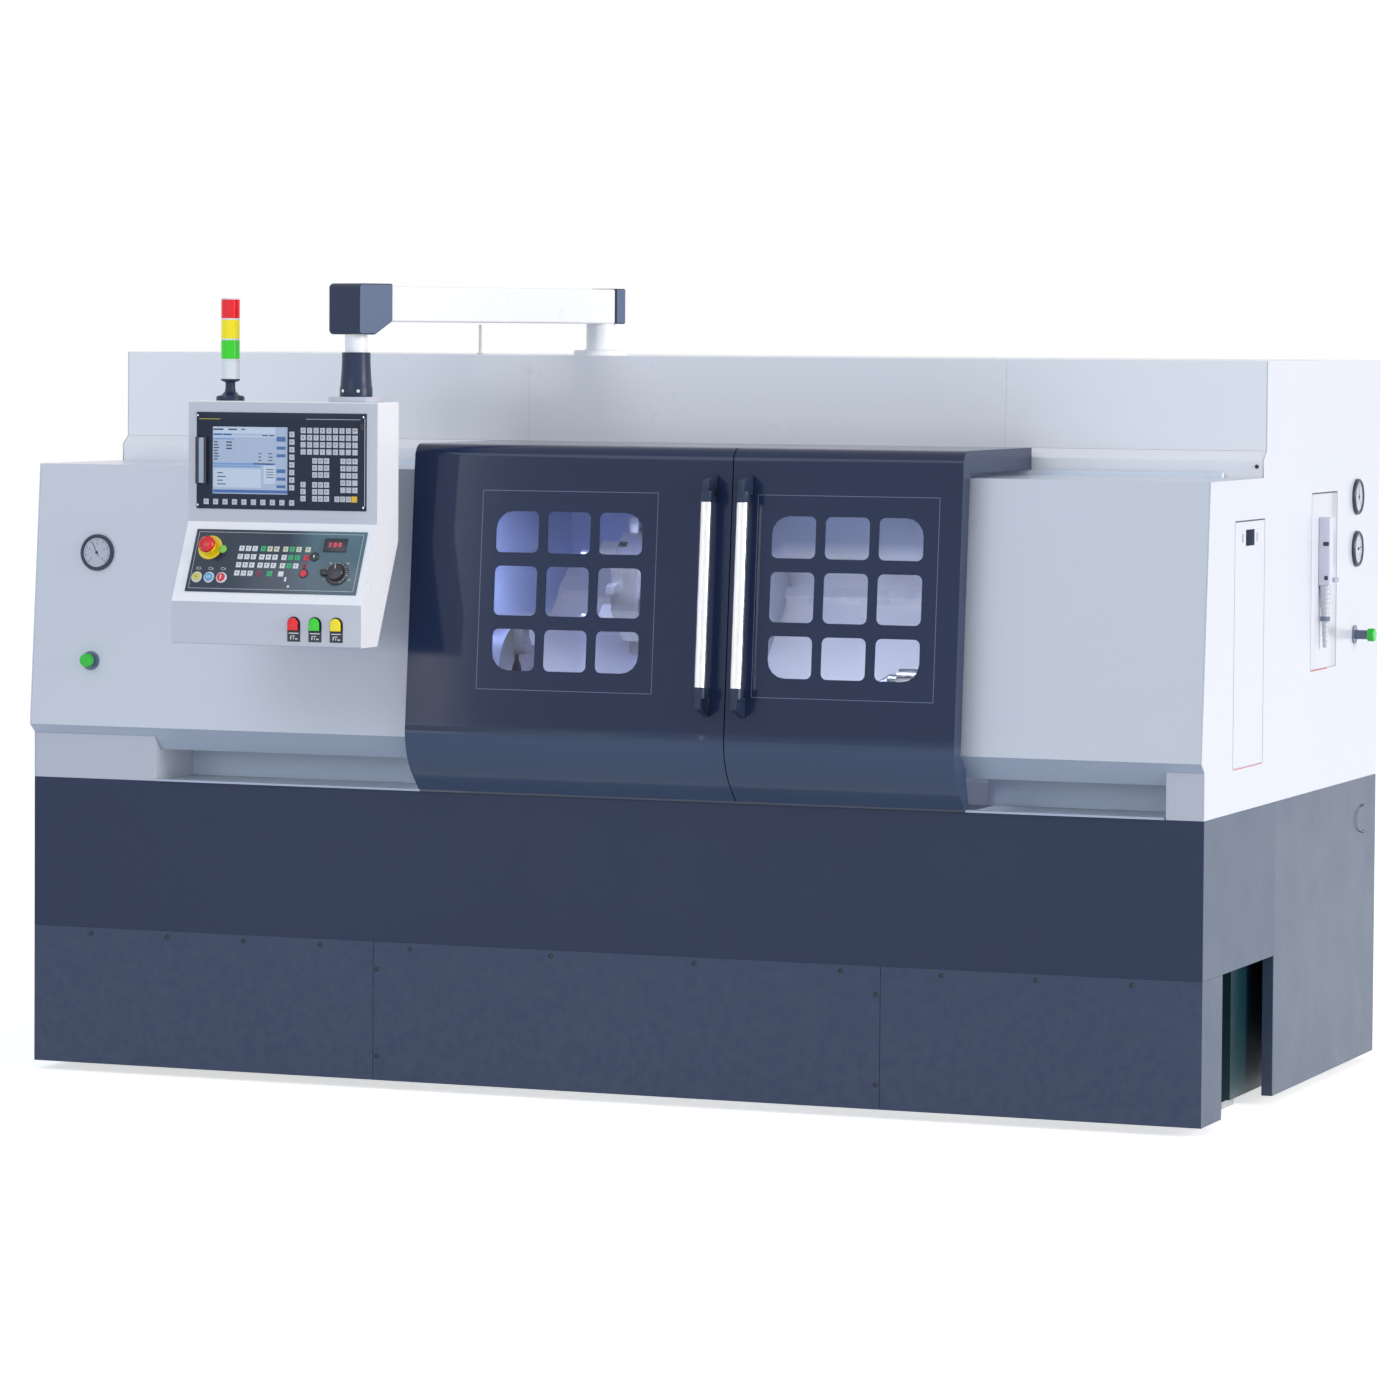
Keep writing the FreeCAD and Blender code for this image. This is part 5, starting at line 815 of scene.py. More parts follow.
face_lean = math.radians(4.71)
desk_lean = math.radians(25.3)
base_height = 812
wall_x = 1675
console_x, console_y, console_top = -1050, -1250, 1858
desk_drop, desk_margin, desk_height = 209, 28, 1328
lower_y = console_y - math.tan(desk_lean) * desk_drop
desk_foot = (-1017, lower_y + math.sin(desk_lean) * desk_margin,
             desk_height + math.cos(desk_lean) * desk_margin)
hood_face = front_facing((0, -968, 959), face_lean)
right_wall = facing((wall_x, 0, 0), (0, 1, 0), (0, 0, 1))
front_panels = front_facing((0, -940, 0))
display_face = front_facing((-1026, console_y - 3, console_top - 30))
desk = front_facing(desk_foot, desk_lean)
lower_face = front_facing((console_x, lower_y, 1216))
console_roof = facing((console_x, console_y, console_top), (1, 0, 0), (0, 1, 0))
print("desk starts at", [round(value) for value in desk_foot])

# %% [markdown]
# ## Basic forms
#
# Nearly every fitting here is a block, a turned profile or an arched plate. Each of them has a helper
# that adds it to a bmesh, so that a piece can be put together from several and then softened at its
# edges.

# %% Basic forms
def slab(form, low, high):
    """A block between two corners; returns its vertices."""
    low, high = Vector(low), Vector(high)
    verts = bmesh.ops.create_cube(form, size=1.0)["verts"]
    bmesh.ops.scale(form, vec=high - low, verts=verts)
    bmesh.ops.translate(form, vec=(low + high) / 2, verts=verts)
    return verts


def turn_flat(form, verts, degrees):
    """Turn some vertices in their own plane, round the place's centre."""
    bmesh.ops.rotate(form, cent=(0, 0, 0), matrix=Matrix.Rotation(math.radians(degrees), 3, "Z"),
                     verts=verts)


def soften(form, amount, steps=2, angle=30.0):
    """Bevel every edge that is sharper than an angle."""
    edges = [edge for edge in form.edges
             if edge.is_manifold and edge.calc_face_angle(0) > math.radians(angle)]
    bmesh.ops.bevel(form, geom=edges, offset=amount, segments=steps, profile=0.5, affect="EDGES",
                    material=-1, clamp_overlap=True)


def lathe(form, profile, steps=48, centre=(0, 0)):
    """Spin (radius, height) points round the Z axis."""
    verts = [form.verts.new((radius, 0, height)) for radius, height in profile]
    edges = [form.edges.new(pair) for pair in zip(verts, verts[1:])]
    before = set(form.verts) - set(verts)
    bmesh.ops.spin(form, geom=verts + edges, cent=(0, 0, 0), axis=(0, 0, 1), angle=math.tau,
                   steps=steps, use_merge=True, use_duplicate=False)
    made = [vert for vert in form.verts if vert not in before]
    bmesh.ops.translate(form, vec=(centre[0], centre[1], 0), verts=made)
    bmesh.ops.remove_doubles(form, verts=made, dist=1e-4)
    bmesh.ops.recalc_face_normals(form, faces=form.faces)


def arch(form, width, height, low, high, steps=16):
    """A plate with a straight foot and a round top, standing on y = 0."""
    radius = width / 2
    outline = [(radius, 0), (-radius, 0)]
    for step in range(steps + 1):
        angle = math.pi - math.pi * step / steps
        outline.append((radius * math.cos(angle), height - radius + radius * math.sin(angle)))
    face = form.faces.new([form.verts.new((x, y, low)) for x, y in outline])
    raised = bmesh.ops.extrude_face_region(form, geom=[face])["geom"]
    bmesh.ops.translate(form, vec=(0, 0, high - low),
                        verts=[item for item in raised if isinstance(item, bmesh.types.BMVert)])
    bmesh.ops.recalc_face_normals(form, faces=form.faces)


print("forms: slab, lathe, arch")

# %% [markdown]
# ## From form to piece
#
# A form becomes a piece when it gets a name, a body to move with, a material and a place. Two short
# helpers do it for pieces that are only blocks or only one turning. Words start as text, because a
# font's outlines are better than drawn ones, and become a mesh before they are placed.

# %% Pieces and words
def add_piece(form, name, body, material, place, stands_for=(), sharp=32.0):
    """Finish a form, let it move with a body, and let it stand for construction nodes."""
    piece = finish_mesh(form, name, material, place, sharp)
    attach(piece, body)
    if stands_for:
        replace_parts(piece, *stands_for)
    return piece


def slabs_piece(name, body, material, place, boxes, round_by=0.0, stands_for=()):
    """One piece made of several blocks, each given by two corners."""
    form = bmesh.new()
    for low, high in boxes:
        slab(form, low, high)
    if round_by:
        soften(form, round_by)
    return add_piece(form, name, body, material, place, stands_for)


def turned_piece(name, body, material, place, profile, steps=48, stands_for=(), sharp=32.0):
    """One piece spun from (radius, height) points."""
    form = bmesh.new()
    lathe(form, profile, steps)
    return add_piece(form, name, body, material, place, stands_for, sharp)


def words_on(form, text, x, y, z, size):
    """Raise a short word or number 0.1 mm above a face, centred on a spot."""
    curve = bpy.data.curves.new("word", "FONT")
    curve.body = text
    curve.size = size
    curve.align_x = "CENTER"
    curve.align_y = "CENTER"
    curve.extrude = 0.05
    curve.resolution_u = 2
    carrier = bpy.data.objects.new("word", curve)
    flat = bpy.data.meshes.new_from_object(carrier)
    flat.transform(Matrix.Translation((x, y, z)))
    form.from_mesh(flat)
    bpy.data.objects.remove(carrier)
    bpy.data.curves.remove(curve)
    bpy.data.meshes.remove(flat)


print("helpers for pieces and words are ready")

# %% [markdown]
# ## Cap screws of the lower panels
#
# The lower panels are held by small dark cap screws with a hexagon socket. Each head is turned from a
# profile with a crowned rim, and the socket is a real recess, round, turned into the same profile. All
# fifteen share one mesh.

# %% Screws
def cap_screw(form, x, y, radius=6.0, height=3.3):
    """Add a cap screw with a socket to a form, at a spot on the face."""
    profile = [(radius, 0), (radius, height * 0.6), (radius * 0.8, height), (radius * 0.5, height),
               (radius * 0.46, height * 0.35), (0, height * 0.35)]
    fresh = bmesh.new()
    lathe(fresh, profile, 18)
    scrap = bpy.data.meshes.new("scrap")
    fresh.to_mesh(scrap)
    fresh.free()
    scrap.transform(Matrix.Translation((x, y, 0)))
    form.from_mesh(scrap)
    bpy.data.meshes.remove(scrap)


row_height = 384
rows = ((-1498, 231.7, 4), (-538, 410.7, 4), (972, 257.7, 3))
seam_columns, seam_heights = (-635, 793), (90, 326)
screw_spots = [(start + pitch * step, row_height) for start, pitch, count in rows for step in range(count)]
screw_spots += [(x, y) for x in seam_columns for y in seam_heights]
heads = bmesh.new()
for x, y in screw_spots:
    cap_screw(heads, x, y)
add_piece(heads, "panel_screws", "machine", black_plastic, front_panels)
print("screws:", len(screw_spots))

# %% [markdown]
# ## Pressure gauges
#
# A pressure gauge is a shallow round case with a dark rim, a white dial, a ring of marks and a thin
# needle. The case is a turned profile. The marks are thin blocks set round the dial by turning, and the
# numbers are flat text made into a mesh. The dial has a clear coat, which stands for its glass.

# %% Gauges
first_mark, sweep, mark_steps = 225, 270, 40
dial_level, mark_end = 6.9, 38


def make_gauge(name, place, reading):
    turned_piece(name + "_case", "machine", gauge_rim, place,
                 [(0, 0), (50, 0), (50, 7), (47, 10), (42, 10), (40.2, 6.5), (0, 6.5)], 64, ("gauges",))
    turned_piece(name + "_dial", "machine", dial_white, place,
                 [(0, 6.6), (40, 6.6), (40, dial_level), (0, dial_level)], 64)
    marks = bmesh.new()
    for step in range(mark_steps + 1):
        start, half = (31, 0.7) if step % 5 == 0 else (34.5, 0.35)
        verts = slab(marks, (start, -half, dial_level), (mark_end, half, dial_level + 0.1))
        turn_flat(marks, verts, first_mark - sweep * step / mark_steps)
    for number in range(0, 9, 2):
        angle = math.radians(first_mark - sweep * number / 8)
        words_on(marks, str(number), math.cos(angle) * 24, math.sin(angle) * 24, 6.95, 8.5)
    turn_flat(marks, slab(marks, (-12, -0.9, 7.3), (32, 0.9, 7.8)), reading)
    add_piece(marks, name + "_marks", "machine", mark_black, place)
    turned_piece(name + "_hub", "machine", gauge_rim, place,
                 [(0, dial_level), (4, dial_level), (4, 8.6), (0, 9)], 20)


gauges = (("gauge_front", at(hood_face, -1486, 474 / math.cos(face_lean)), 118),
          ("gauge_high", at(right_wall, 552, base_height + 791), 96),
          ("gauge_low", at(right_wall, 552, base_height + 646), 8))
for name, place, reading in gauges:
    make_gauge(name, place, reading)
print("gauges:", len(gauges), "with", mark_steps + 1, "marks each")

# %% [markdown]
# ## Air regulators
#
# Beside each gauge sits a pressure regulator: a dark flange on the cover, a ribbed stem, and a green
# knob that an operator turns. The knob is a separate body in the construction model, so its dressed
# copy rides on that body. Ribs are cut by the turned profile of the stem, and the knob's grip is made
# by insetting the side faces of a many-sided turning and pushing them in.

# %% Regulators
def ribbed_stem(name, place, length, flange=26, flange_height=4.0, radius=13, pitch=3.0):
    """A round flange and a stem with a groove in every pitch of its length."""
    ribs = [(0, 0), (flange, 0), (flange, flange_height)]
    height = flange_height
    while height < length - pitch:
        ribs += [(radius, height), (radius, height + 1.8), (radius - 1.4, height + 2.0),
                 (radius - 1.4, height + 2.9)]
        height += pitch
    ribs += [(radius, height), (radius, length), (0, length)]
    return turned_piece(name, "machine", slate_and_highlight, place, ribs, 40)


def grip_knob(name, body, place, low, stands_for, length=19.7, radius=18):
    """A knob above a stem, its grip pressed in at every second side; returns the count of flutes."""
    form = bmesh.new()
    top = low + length
    lathe(form, [(7.1, low), (radius - 1, low), (radius, low + 1.5), (radius, top - 3),
                 (radius - 2.5, top), (0, top)], 48)
    sides = [face for face in form.faces if abs(face.normal.z) < 0.1 and face.calc_area() > 20]
    flutes = bmesh.ops.inset_individual(form, faces=sides[::2], thickness=0.35, depth=-0.9)
    add_piece(form, name, body, green_plastic, place, (stands_for,))
    return len(flutes["faces"])


stem_front, stem_side, knob_gap = 16, 40, 0.3
left_regulator = at(hood_face, -1494, 178 / math.cos(face_lean))
right_regulator = at(right_wall, 541, base_height + 407)
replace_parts(ribbed_stem("stem_front", left_regulator, stem_front), "regulator_stems")
ribbed_stem("stem_side", right_regulator, stem_side)
front_flutes = grip_knob("knob_front", "knob_left", left_regulator, stem_front + knob_gap,
                         "regulator_knob_left")
side_flutes = grip_knob("knob_side", "knob_right", right_regulator, stem_side + knob_gap,
                        "regulator_knob_right")
print("flutes on the knobs:", front_flutes, side_flutes)

# %% [markdown]
# ## Signal tower
#
# The tower on the console's roof stacks four lit sleeves on a flared foot: clear, green, yellow and red
# from the bottom. Each sleeve is a turned shell with rounded lips, set off from the next by a thin pale
# ring, and the lenses carry a faint light of their own.

# %% Tower
tower = at(console_roof, 90, 67)
turned_piece("tower_foot", "console", boom_dark, tower,
             [(0, 0), (38, 0), (38, 7), (36, 12), (24, 15), (15, 24), (13, 34), (13, 48), (22, 52),
              (26, 54), (26, 57), (0, 57)], 56, ("tower_light",))
lens_low, lens_pitch, lens_height, lens_lip = 57.2, 54, 49.8, 0.8
for name, material in (("clear", white_plastic), ("green", lamp_green), ("yellow", lamp_yellow),
                       ("red", lamp_red)):
    lens_top = lens_low + lens_height
    turned_piece("tower_" + name, "console", material, tower,
                 [(0, lens_low), (25 - lens_lip, lens_low), (25, lens_low + lens_lip),
                  (25, lens_top - lens_lip), (25 - lens_lip, lens_top), (0, lens_top)], 56)
    turned_piece("tower_ring_" + name, "console", white_plastic, tower,
                 [(0, lens_top + 0.1), (24.6, lens_top + 0.1), (24.6, lens_top + 4), (0, lens_top + 4)], 56)
    lens_low += lens_pitch
print("tower top at", round(console_top + lens_low))

# %% [markdown]
# ## Door handles
#
# Two upright grab tubes stand off the meeting edges of the doors, each held top and bottom by a dark
# cast bracket: a wedge that is broad on the door and closes round the tube. The brackets keep their
# construction shape and get rounded edges, so only the round tube is taken out of the copy and turned
# anew with eased ends.

# %% Handles
def islands(form):
    """The separate lumps of a bmesh, each as a set of vertices."""
    left = set(form.verts)
    lumps = []
    while left:
        to_visit = [left.pop()]
        lump = set(to_visit)
        while to_visit:
            vert = to_visit.pop()
            others = {edge.other_vert(vert) for edge in vert.link_edges} & left
            left -= others
            lump |= others
            to_visit += others
        lumps.append(lump)
    return lumps


def door_facing(x):
    """A place on the doors' leaning face, level with the window panels' foot."""
    return front_facing((x, -1036.7, 1099), face_lean)


tube_radius, tube_length, most_bracket_verts = 16, 500, 30
socket_outer, socket_inner, socket_height, socket_depth = 18.4, 16.15, 30, 22
low_socket = [(0, 0), (16.6, 0), (socket_outer, 2), (socket_outer, 28), (17.4, socket_height),
              (socket_inner, socket_height), (socket_inner, socket_depth), (0, socket_depth)]
high_socket = [(socket_inner, 0), (17.4, 0), (socket_outer, 2), (socket_outer, 28), (16.6, socket_height),
               (0, socket_height), (0, 8.2), (socket_inner, 8.2), (socket_inner, 0)]


def make_handle(side, x):
    form = copy_of("handle_" + side)
    for lump in islands(form):
        if len(lump) > most_bracket_verts:
            bmesh.ops.delete(form, geom=list(lump), context="VERTS")
    bmesh.ops.scale(form, vec=(0.5, 1, 1), verts=form.verts, space=Matrix.Translation((-x / 1000, 0, 0)))
    soften(form, 0.002, 2, 20)
    brackets = add_piece(form, "handle_brackets_" + side, "door_" + side, boom_dark, None,
                         ("handle_" + side,))
    upright = door_facing(x) @ Matrix.Translation((0, 12, 54)) @ Matrix.Rotation(-math.pi / 2, 4, "X")
    turned_piece("grab_tube_" + side, "door_" + side, tube_metal, upright,
                 [(0, 0), (tube_radius - 2, 0), (tube_radius, 2), (tube_radius, tube_length - 2),
                  (tube_radius - 2, tube_length), (0, tube_length)], 40)
    for end, foot, profile in (("low", -22, low_socket), ("high", 492, high_socket)):
        turned_piece("tube_socket_%s_%s" % (end, side), "door_" + side, boom_dark, upright,
                     [(radius, foot + height) for radius, height in profile], 40)
    return len(brackets.data.polygons)


for side, x in (("left", 353), ("right", 453)):
    print("handle", side, "bracket faces:", make_handle(side, x))

# %% [markdown]
# ## The boom
#
# The boom is a square white beam with a cast dark elbow over the console and a dark cap behind the post.
# The elbow and the cap have flat chamfers rather than round edges, so they are bevelled in one step, and
# their right faces, which look at the key lamp, have a paler coat: painted light. The dark sleeve below the
# elbow flares at its foot, where two bright screws lock it.

# %% Boom
print("elbow chamfers:", dressed("boom_ends", "boom", boom_dark, 0.008, 1))
# painted light on the right faces of the elbow and the cap
paint_bright_faces("boom_ends_cover", boom_side)
sleeve = facing((-591.6, -1182.4, 1872), (1, 0, 0), (0, 1, 0))
turned_piece("boom_sleeve", "console", boom_dark, sleeve,
             [(21, 0), (43.5, 0), (43.5, 24), (42, 27), (39.5, 60), (38, 90), (38, 115.6), (36.8, 116.8),
              (21, 116.8), (21, 0)], 64, ("swivel_collar",))
roof_top = 1983
post = facing((-256, -299, roof_top), (1, 0, 0), (0, 1, 0))
turned_piece("boom_post_column", "machine", boom_white, post,
             [(0, 0), (75, 0), (75, 11), (72, 14), (46, 14), (41, 18), (40, 22), (40, 86.8), (0, 86.8)], 64,
             ("boom_post",))
stay = facing((-619, -300, roof_top), (1, 0, 0), (0, 1, 0))
turned_piece("roof_stay", "machine", zinc_steel, stay,
             [(0, 0), (9, 0), (9, 3), (4, 4), (4, 83), (0, 83)], 20)
slabs_piece("sleeve_plate", "console", case_paint, sleeve, [((-55, -55, -14), (55, 55, -0.2))], 1.5)
for turn in (-118, -58):
    angle = math.radians(turn)
    screw = sleeve @ Matrix.Translation((43 * math.cos(angle), 43 * math.sin(angle), 15)) @ (
        Matrix.Rotation(angle, 4, "Z") @ Matrix.Rotation(math.pi / 2, 4, "Y"))
    turned_piece("sleeve_screw_%d" % -turn, "console", chrome, screw,
                 [(0, -2), (4.5, -2), (4.5, 1.4), (3.6, 2), (0, 2)], 20)

# %% [markdown]
# ## The display
#
# The control is a flat dark unit with a sunken screen, a block of small keys and two rows of soft keys.
# The frame is one slab with rounded edges. The grip at its left is where the operator's hand pulls the
# card door open: a pale bar between two dark rails. The screen shows plain bars and rows of marks, with
# nothing to read.

# %% Display unit
def display_slab(x, drop, width, height, low, high):
    """Two corners of a slab on the display, from its left edge and top edge."""
    return (x, -drop - height, low), (x + width, -drop, high)


screen_left, screen_right, screen_low, screen_high = 46.5, 268.5, -217.5, -36
form = bmesh.new()
slab(form, (0.5, -256.5, -7.5), (496.5, -0.5, 0))
soften(form, 2.0)
for axis, cuts in (((1, 0, 0), (screen_left, screen_right)), ((0, 1, 0), (screen_high, screen_low))):
    for cut in cuts:
        bmesh.ops.bisect_plane(form, geom=form.verts[:] + form.edges[:] + form.faces[:], dist=1e-5,
                               plane_co=Vector(axis) * cut, plane_no=axis)
well = [face for face in form.faces if face.normal.z > 0.9
        and screen_left < face.calc_center_median().x < screen_right
        and screen_low < face.calc_center_median().y < screen_high]
sunk = bmesh.ops.inset_region(form, faces=well, thickness=1.6, depth=-2.0)
print("screen well faces:", len(well), "slopes:", len(sunk["faces"]))
add_piece(form, "display_frame", "console", frame_plastic, display_face, ("display_unit",))
slabs_piece("display_grip_rails", "console", black_plastic, display_face,
            [display_slab(1, 66, 9, 125, 0, 8), display_slab(26, 66, 8, 125, 0, 9)], 1.2)
slabs_piece("display_grip", "console", grey_plastic, display_face,
            [display_slab(9.6, 68, 16.8, 121, 0, 6.4)], 1.5)
slabs_piece("display_lock", "console", black_plastic, display_face,
            [display_slab(480, 27, 12, 17, 0.1, 2.6)], 1.0)
slabs_piece("display_lines", "console", mark_white, display_face,
            [display_slab(322, 15.6, 158, 0.9, 0.05, 0.25), display_slab(492.3, 12, 1.2, 232, 0.05, 0.3)])
slabs_piece("display_accent", "console", yellow_plastic, display_face,
            [display_slab(9, 17.8, 62, 1.1, 0.05, 0.25)])
corner_screws = bmesh.new()
for x, y in ((5, -247), (489, -247), (5, -9), (489, -9)):
    cap_screw(corner_screws, x, y, 2.6, 0.8)
add_piece(corner_screws, "display_screws", "console", chrome, display_face)

# %% [markdown]
# ## Screen picture
#
# An image would do it, but plain blocks stay sharp at any distance and need no file. Each ink is one
# piece: the ground, two blues for bars and dark marks for rows of text. They lie a few hundredths of a
# millimetre over one another, so that no two faces share a plane.

# %% Screen picture
screen_parts = {
    screen_ground: [(0.6, 0.6, 219, 178.5)],
    screen_pale: [(2, 2, 182, 17), (2, 24, 182, 4), (150, 101, 34, 50), (2, 112, 140, 50)],
    screen_blue: [(2, 19, 26, 5), (30, 19, 26, 5), (188, 26, 26, 13), (188, 52, 26, 8), (188, 72, 26, 8),
                  (188, 112, 26, 10), (188, 134, 26, 8), (188, 154, 26, 8), (2, 168, 217, 8)],
    screen_mid: [(2, 97, 182, 5), (2, 104, 140, 4), (2, 32, 60, 3), (120, 97, 60, 3)],
    screen_dark: [(2, 6, 30, 4), (46, 6, 26, 4), (84, 6, 12, 3), (146, 22, 16, 3), (166, 22, 14, 3)]}
for row in range(7):
    screen_parts[screen_dark].append((4, 40 + row * 7.6, 11 + row % 3 * 2, 3))
for row in range(3):
    screen_parts[screen_dark].append((40, 40 + row * 8.4, 17, 3.6))
    screen_parts[screen_dark].append((135, 70 + row * 9, 8, 2.4))
    screen_parts[screen_dark].append((164, 70 + row * 9, 12, 2.4))
for row in range(4):
    screen_parts[screen_dark].append((14, 122 + row * 10, 16 + row % 2 * 9, 2.6))
    screen_parts[screen_dark].append((158, 112 + row * 7, 22, 2))
layer = {screen_ground: 0.0, screen_pale: 0.08, screen_blue: 0.16, screen_mid: 0.16, screen_dark: 0.24}
for ink, patches in screen_parts.items():
    boxes = [display_slab(47.6 + x, 37.6 + drop, width, height, layer[ink] - 1.9, layer[ink] - 1.8)
             for x, drop, width, height in patches]
    slabs_piece(ink.name, "console", ink, display_face, boxes,
                stands_for=("display_screen",) if ink == screen_ground else ())
print("screen patches:", sum(len(patches) for patches in screen_parts.values()))

# %% [markdown]
# ## Keys
#
# All keys are the same moulded cap, 15 mm square with a sloping rim, so one helper sets a whole block
# of them into one piece. A second piece holds their dark marks: letters, numbers or a short dash. The
# marks stand a tenth of a millimetre proud, which keeps them clean at any distance.

# %% Key blocks
def key_cap(form, x, y, low, high, size=15.0):
    """A cap with a sloping rim: a slab whose top face is drawn in."""
    verts = slab(form, (x - size / 2, y - size / 2, low), (x + size / 2, y + size / 2, high))
    top = [vert for vert in verts if vert.co.z > (low + high) / 2]
    bmesh.ops.scale(form, vec=(0.9, 0.9, 1), verts=top, space=Matrix.Translation((-x, -y, 0)))


display_keys = [(281, 57 + 20.1 * row, "-") for row in range(8)]
display_keys += [(30 + 27.8 * column, 238, "-") for column in range(9)] + [(281, 238, "-")]
letters, letter_pitch = "OPQRSTUVWABCDEFGHIJKLMNXYZ/()=+*#:;.,", 18.8
for row in range(4):
    for column in range(9):
        display_keys.append((314 + letter_pitch * column, 46 + letter_pitch * row,
                             letters[row * 9 + column]))
cursor_pitch, cursor_row, cursor_high, cursor_low = 17.2, 18.4, 126, 189
for row in range(3):
    for column in range(3):
        x = 348 + cursor_pitch * column
        display_keys.append((x, cursor_high + cursor_row * row, "+" if row == column == 1 else "-"))
        display_keys.append((x, cursor_low + cursor_row * row, "-"))
    display_keys.append((314, cursor_low + cursor_row * row, "-"))
digits = ("789", "456", "123", "-0.", "/=+")
for row in range(5):
    for column in range(3):
        display_keys.append((430 + cursor_pitch * column, cursor_high + 19 * row, digits[row][column]))
last_x, last_pitch, last_drop = 413, 16.6, 226
display_keys += [(last_x + last_pitch * column, last_drop, "-") for column in range(3)]
caps, glyphs = bmesh.new(), bmesh.new()
cap_top, mark_height = 1.6, 0.1
for x, drop, letter in display_keys:
    key_cap(caps, x, -drop, 0, cap_top)
    if letter == "-":
        slab(glyphs, (x - 3.4, -drop + 1.0, cap_top), (x + 3.4, -drop + 2.2, cap_top + mark_height))
        slab(glyphs, (x - 3.4, -drop - 2.4, cap_top), (x + 1.4, -drop - 1.2, cap_top + mark_height))
    else:
        words_on(glyphs, letter, x, -drop, cap_top, 9.5)
add_piece(caps, "display_keys", "console", key_film, display_face, ("console_keys",))
add_piece(glyphs, "display_key_marks", "console", mark_black, display_face)
amber = bmesh.new()
key_cap(amber, last_x + last_pitch * 3, -last_drop, 0, 1.7, 16.4)
slab(amber, (458, -225, 1.7), (467.5, -224, 1.8))
add_piece(amber, "display_amber_key", "console", key_amber, display_face)
print("display keys:", len(display_keys) + 1)

# %% [markdown]
# ## The machine panel
#
# The sloping desk carries the machine's own buttons on a printed film: dark at the left and paler at
# the right, with a fine light border. Keys come in rows of white, cream, green and red, so each colour
# is one piece. They sit on the film at their own height, like the real membrane caps.

# %% Panel plate and border
slabs_piece("panel_plate", "console", panel_film, desk, [((0, 0, 0), (498, 180, 3))], 1.4,
            ("machine_panel",))
slabs_piece("panel_border", "console", mark_white, desk,
            [((9, 9, 3), (489, 9.8, 3.1)), ((9, 171, 3), (489, 171.8, 3.1)), ((9, 9, 3), (9.8, 171, 3.1)),
             ((488.2, 9, 3), (489, 171, 3.1))])
print("panel plate and its border are on")

# %% [markdown]
# ## Coloured keys
#
# The rows are written as they lie on the panel, bank by bank, with a colour for each key. The loop works
# out the places, and all the keys of one colour go into one piece.

# %% Rows of coloured keys
banks = (143, 206, 271, 336)
single_keys = {(3, 1): 206, (3, 2): 238}
key_pitch, row_pitch, first_row = 19.2, 23.7, 126
plate_top, key_top = 3, 4.8
white, cream, green, red, plum = key_white, key_cream, key_green, key_red, key_plum
key_rows = (
    ((white, white, white), (green, cream, cream), (cream, green, cream), (cream,)),
    ((white, white, white), (white, white, white), (white, green, green), (red,)),
    ((white, white, white), (white, white, white), (white, green, white), (plum,)),
    ((white, white, white), (plum,), (green,), ()))
desk_caps = {}
desk_marks = bmesh.new()
for row, banks_in_row in enumerate(key_rows):
    y = first_row - row_pitch * row
    for bank, colours in enumerate(banks_in_row):
        for column, colour in enumerate(colours):
            x = single_keys.get((row, bank), banks[bank] + key_pitch * column)
            desk_caps.setdefault(colour, bmesh.new())
            key_cap(desk_caps[colour], x, y, plate_top, key_top)
            slab(desk_marks, (x - 3, y + 0.4, key_top), (x + 3, y + 2.4, key_top + mark_height))
            slab(desk_marks, (x - 1.6, y - 3.0, key_top), (x + 1.6, y - 1.6, key_top + mark_height))
key_cap(desk_caps[white], banks[2], first_row - row_pitch * 3, plate_top, key_top)
for colour, form in desk_caps.items():
    add_piece(form, "desk_" + colour.name, "console", colour, desk)
add_piece(desk_marks, "desk_key_marks", "console", mark_black, desk)
print("desk key colours:", len(desk_caps))

# %% [markdown]
# ## Buttons on the desk
#
# The emergency stop is a red mushroom over a yellow disc. Both are turned: the mushroom's cap is wide
# and domed, with a tight edge, so that light falls off round it. The three small buttons have a white
# ring and a coloured face, and each carries a plain sign cut from thin blocks.

# %% Emergency stop
stop = at(desk, 50, 126, plate_top)
turned_piece("stop_disc", "console", yellow_plastic, stop,
             [(11.2, 0), (34, 0), (34, 2.2), (33, 3), (16, 3.2), (15, 4), (15, 13.2), (14.2, 14), (11.2, 14),
              (11.2, 0)], 64)
turned_piece("stop_mushroom", "estop", red_plastic, stop,
             [(0, 6), (11, 6), (11, 19.3), (20.5, 19.3), (22.6, 21), (23, 24), (22.4, 28), (20, 32),
              (15.5, 34.8), (9, 36), (0, 36.3)], 72, ("estop_button",))
arrows = bmesh.new()
for step in range(3):
    turn_flat(arrows, slab(arrows, (12.5, -1.1, 34), (17.5, 1.1, 34.2)), 120 * step)
add_piece(arrows, "stop_arrows", "estop", mark_white, stop)
turned_piece("reset_button", "console", lime_plastic, at(desk, 88, 122, plate_top),
             [(0, 0), (11, 0), (11, 3.4), (10, 4.6), (0, 5)], 40)
print("emergency stop stands at", [round(value, 3) for value in stop.translation])

# %% [markdown]
# ## Round buttons
#
# Reset, start and hold are flat plungers in white rings. The ring stays on the panel and the plunger
# with its sign moves, so they are separate pieces on different bodies.

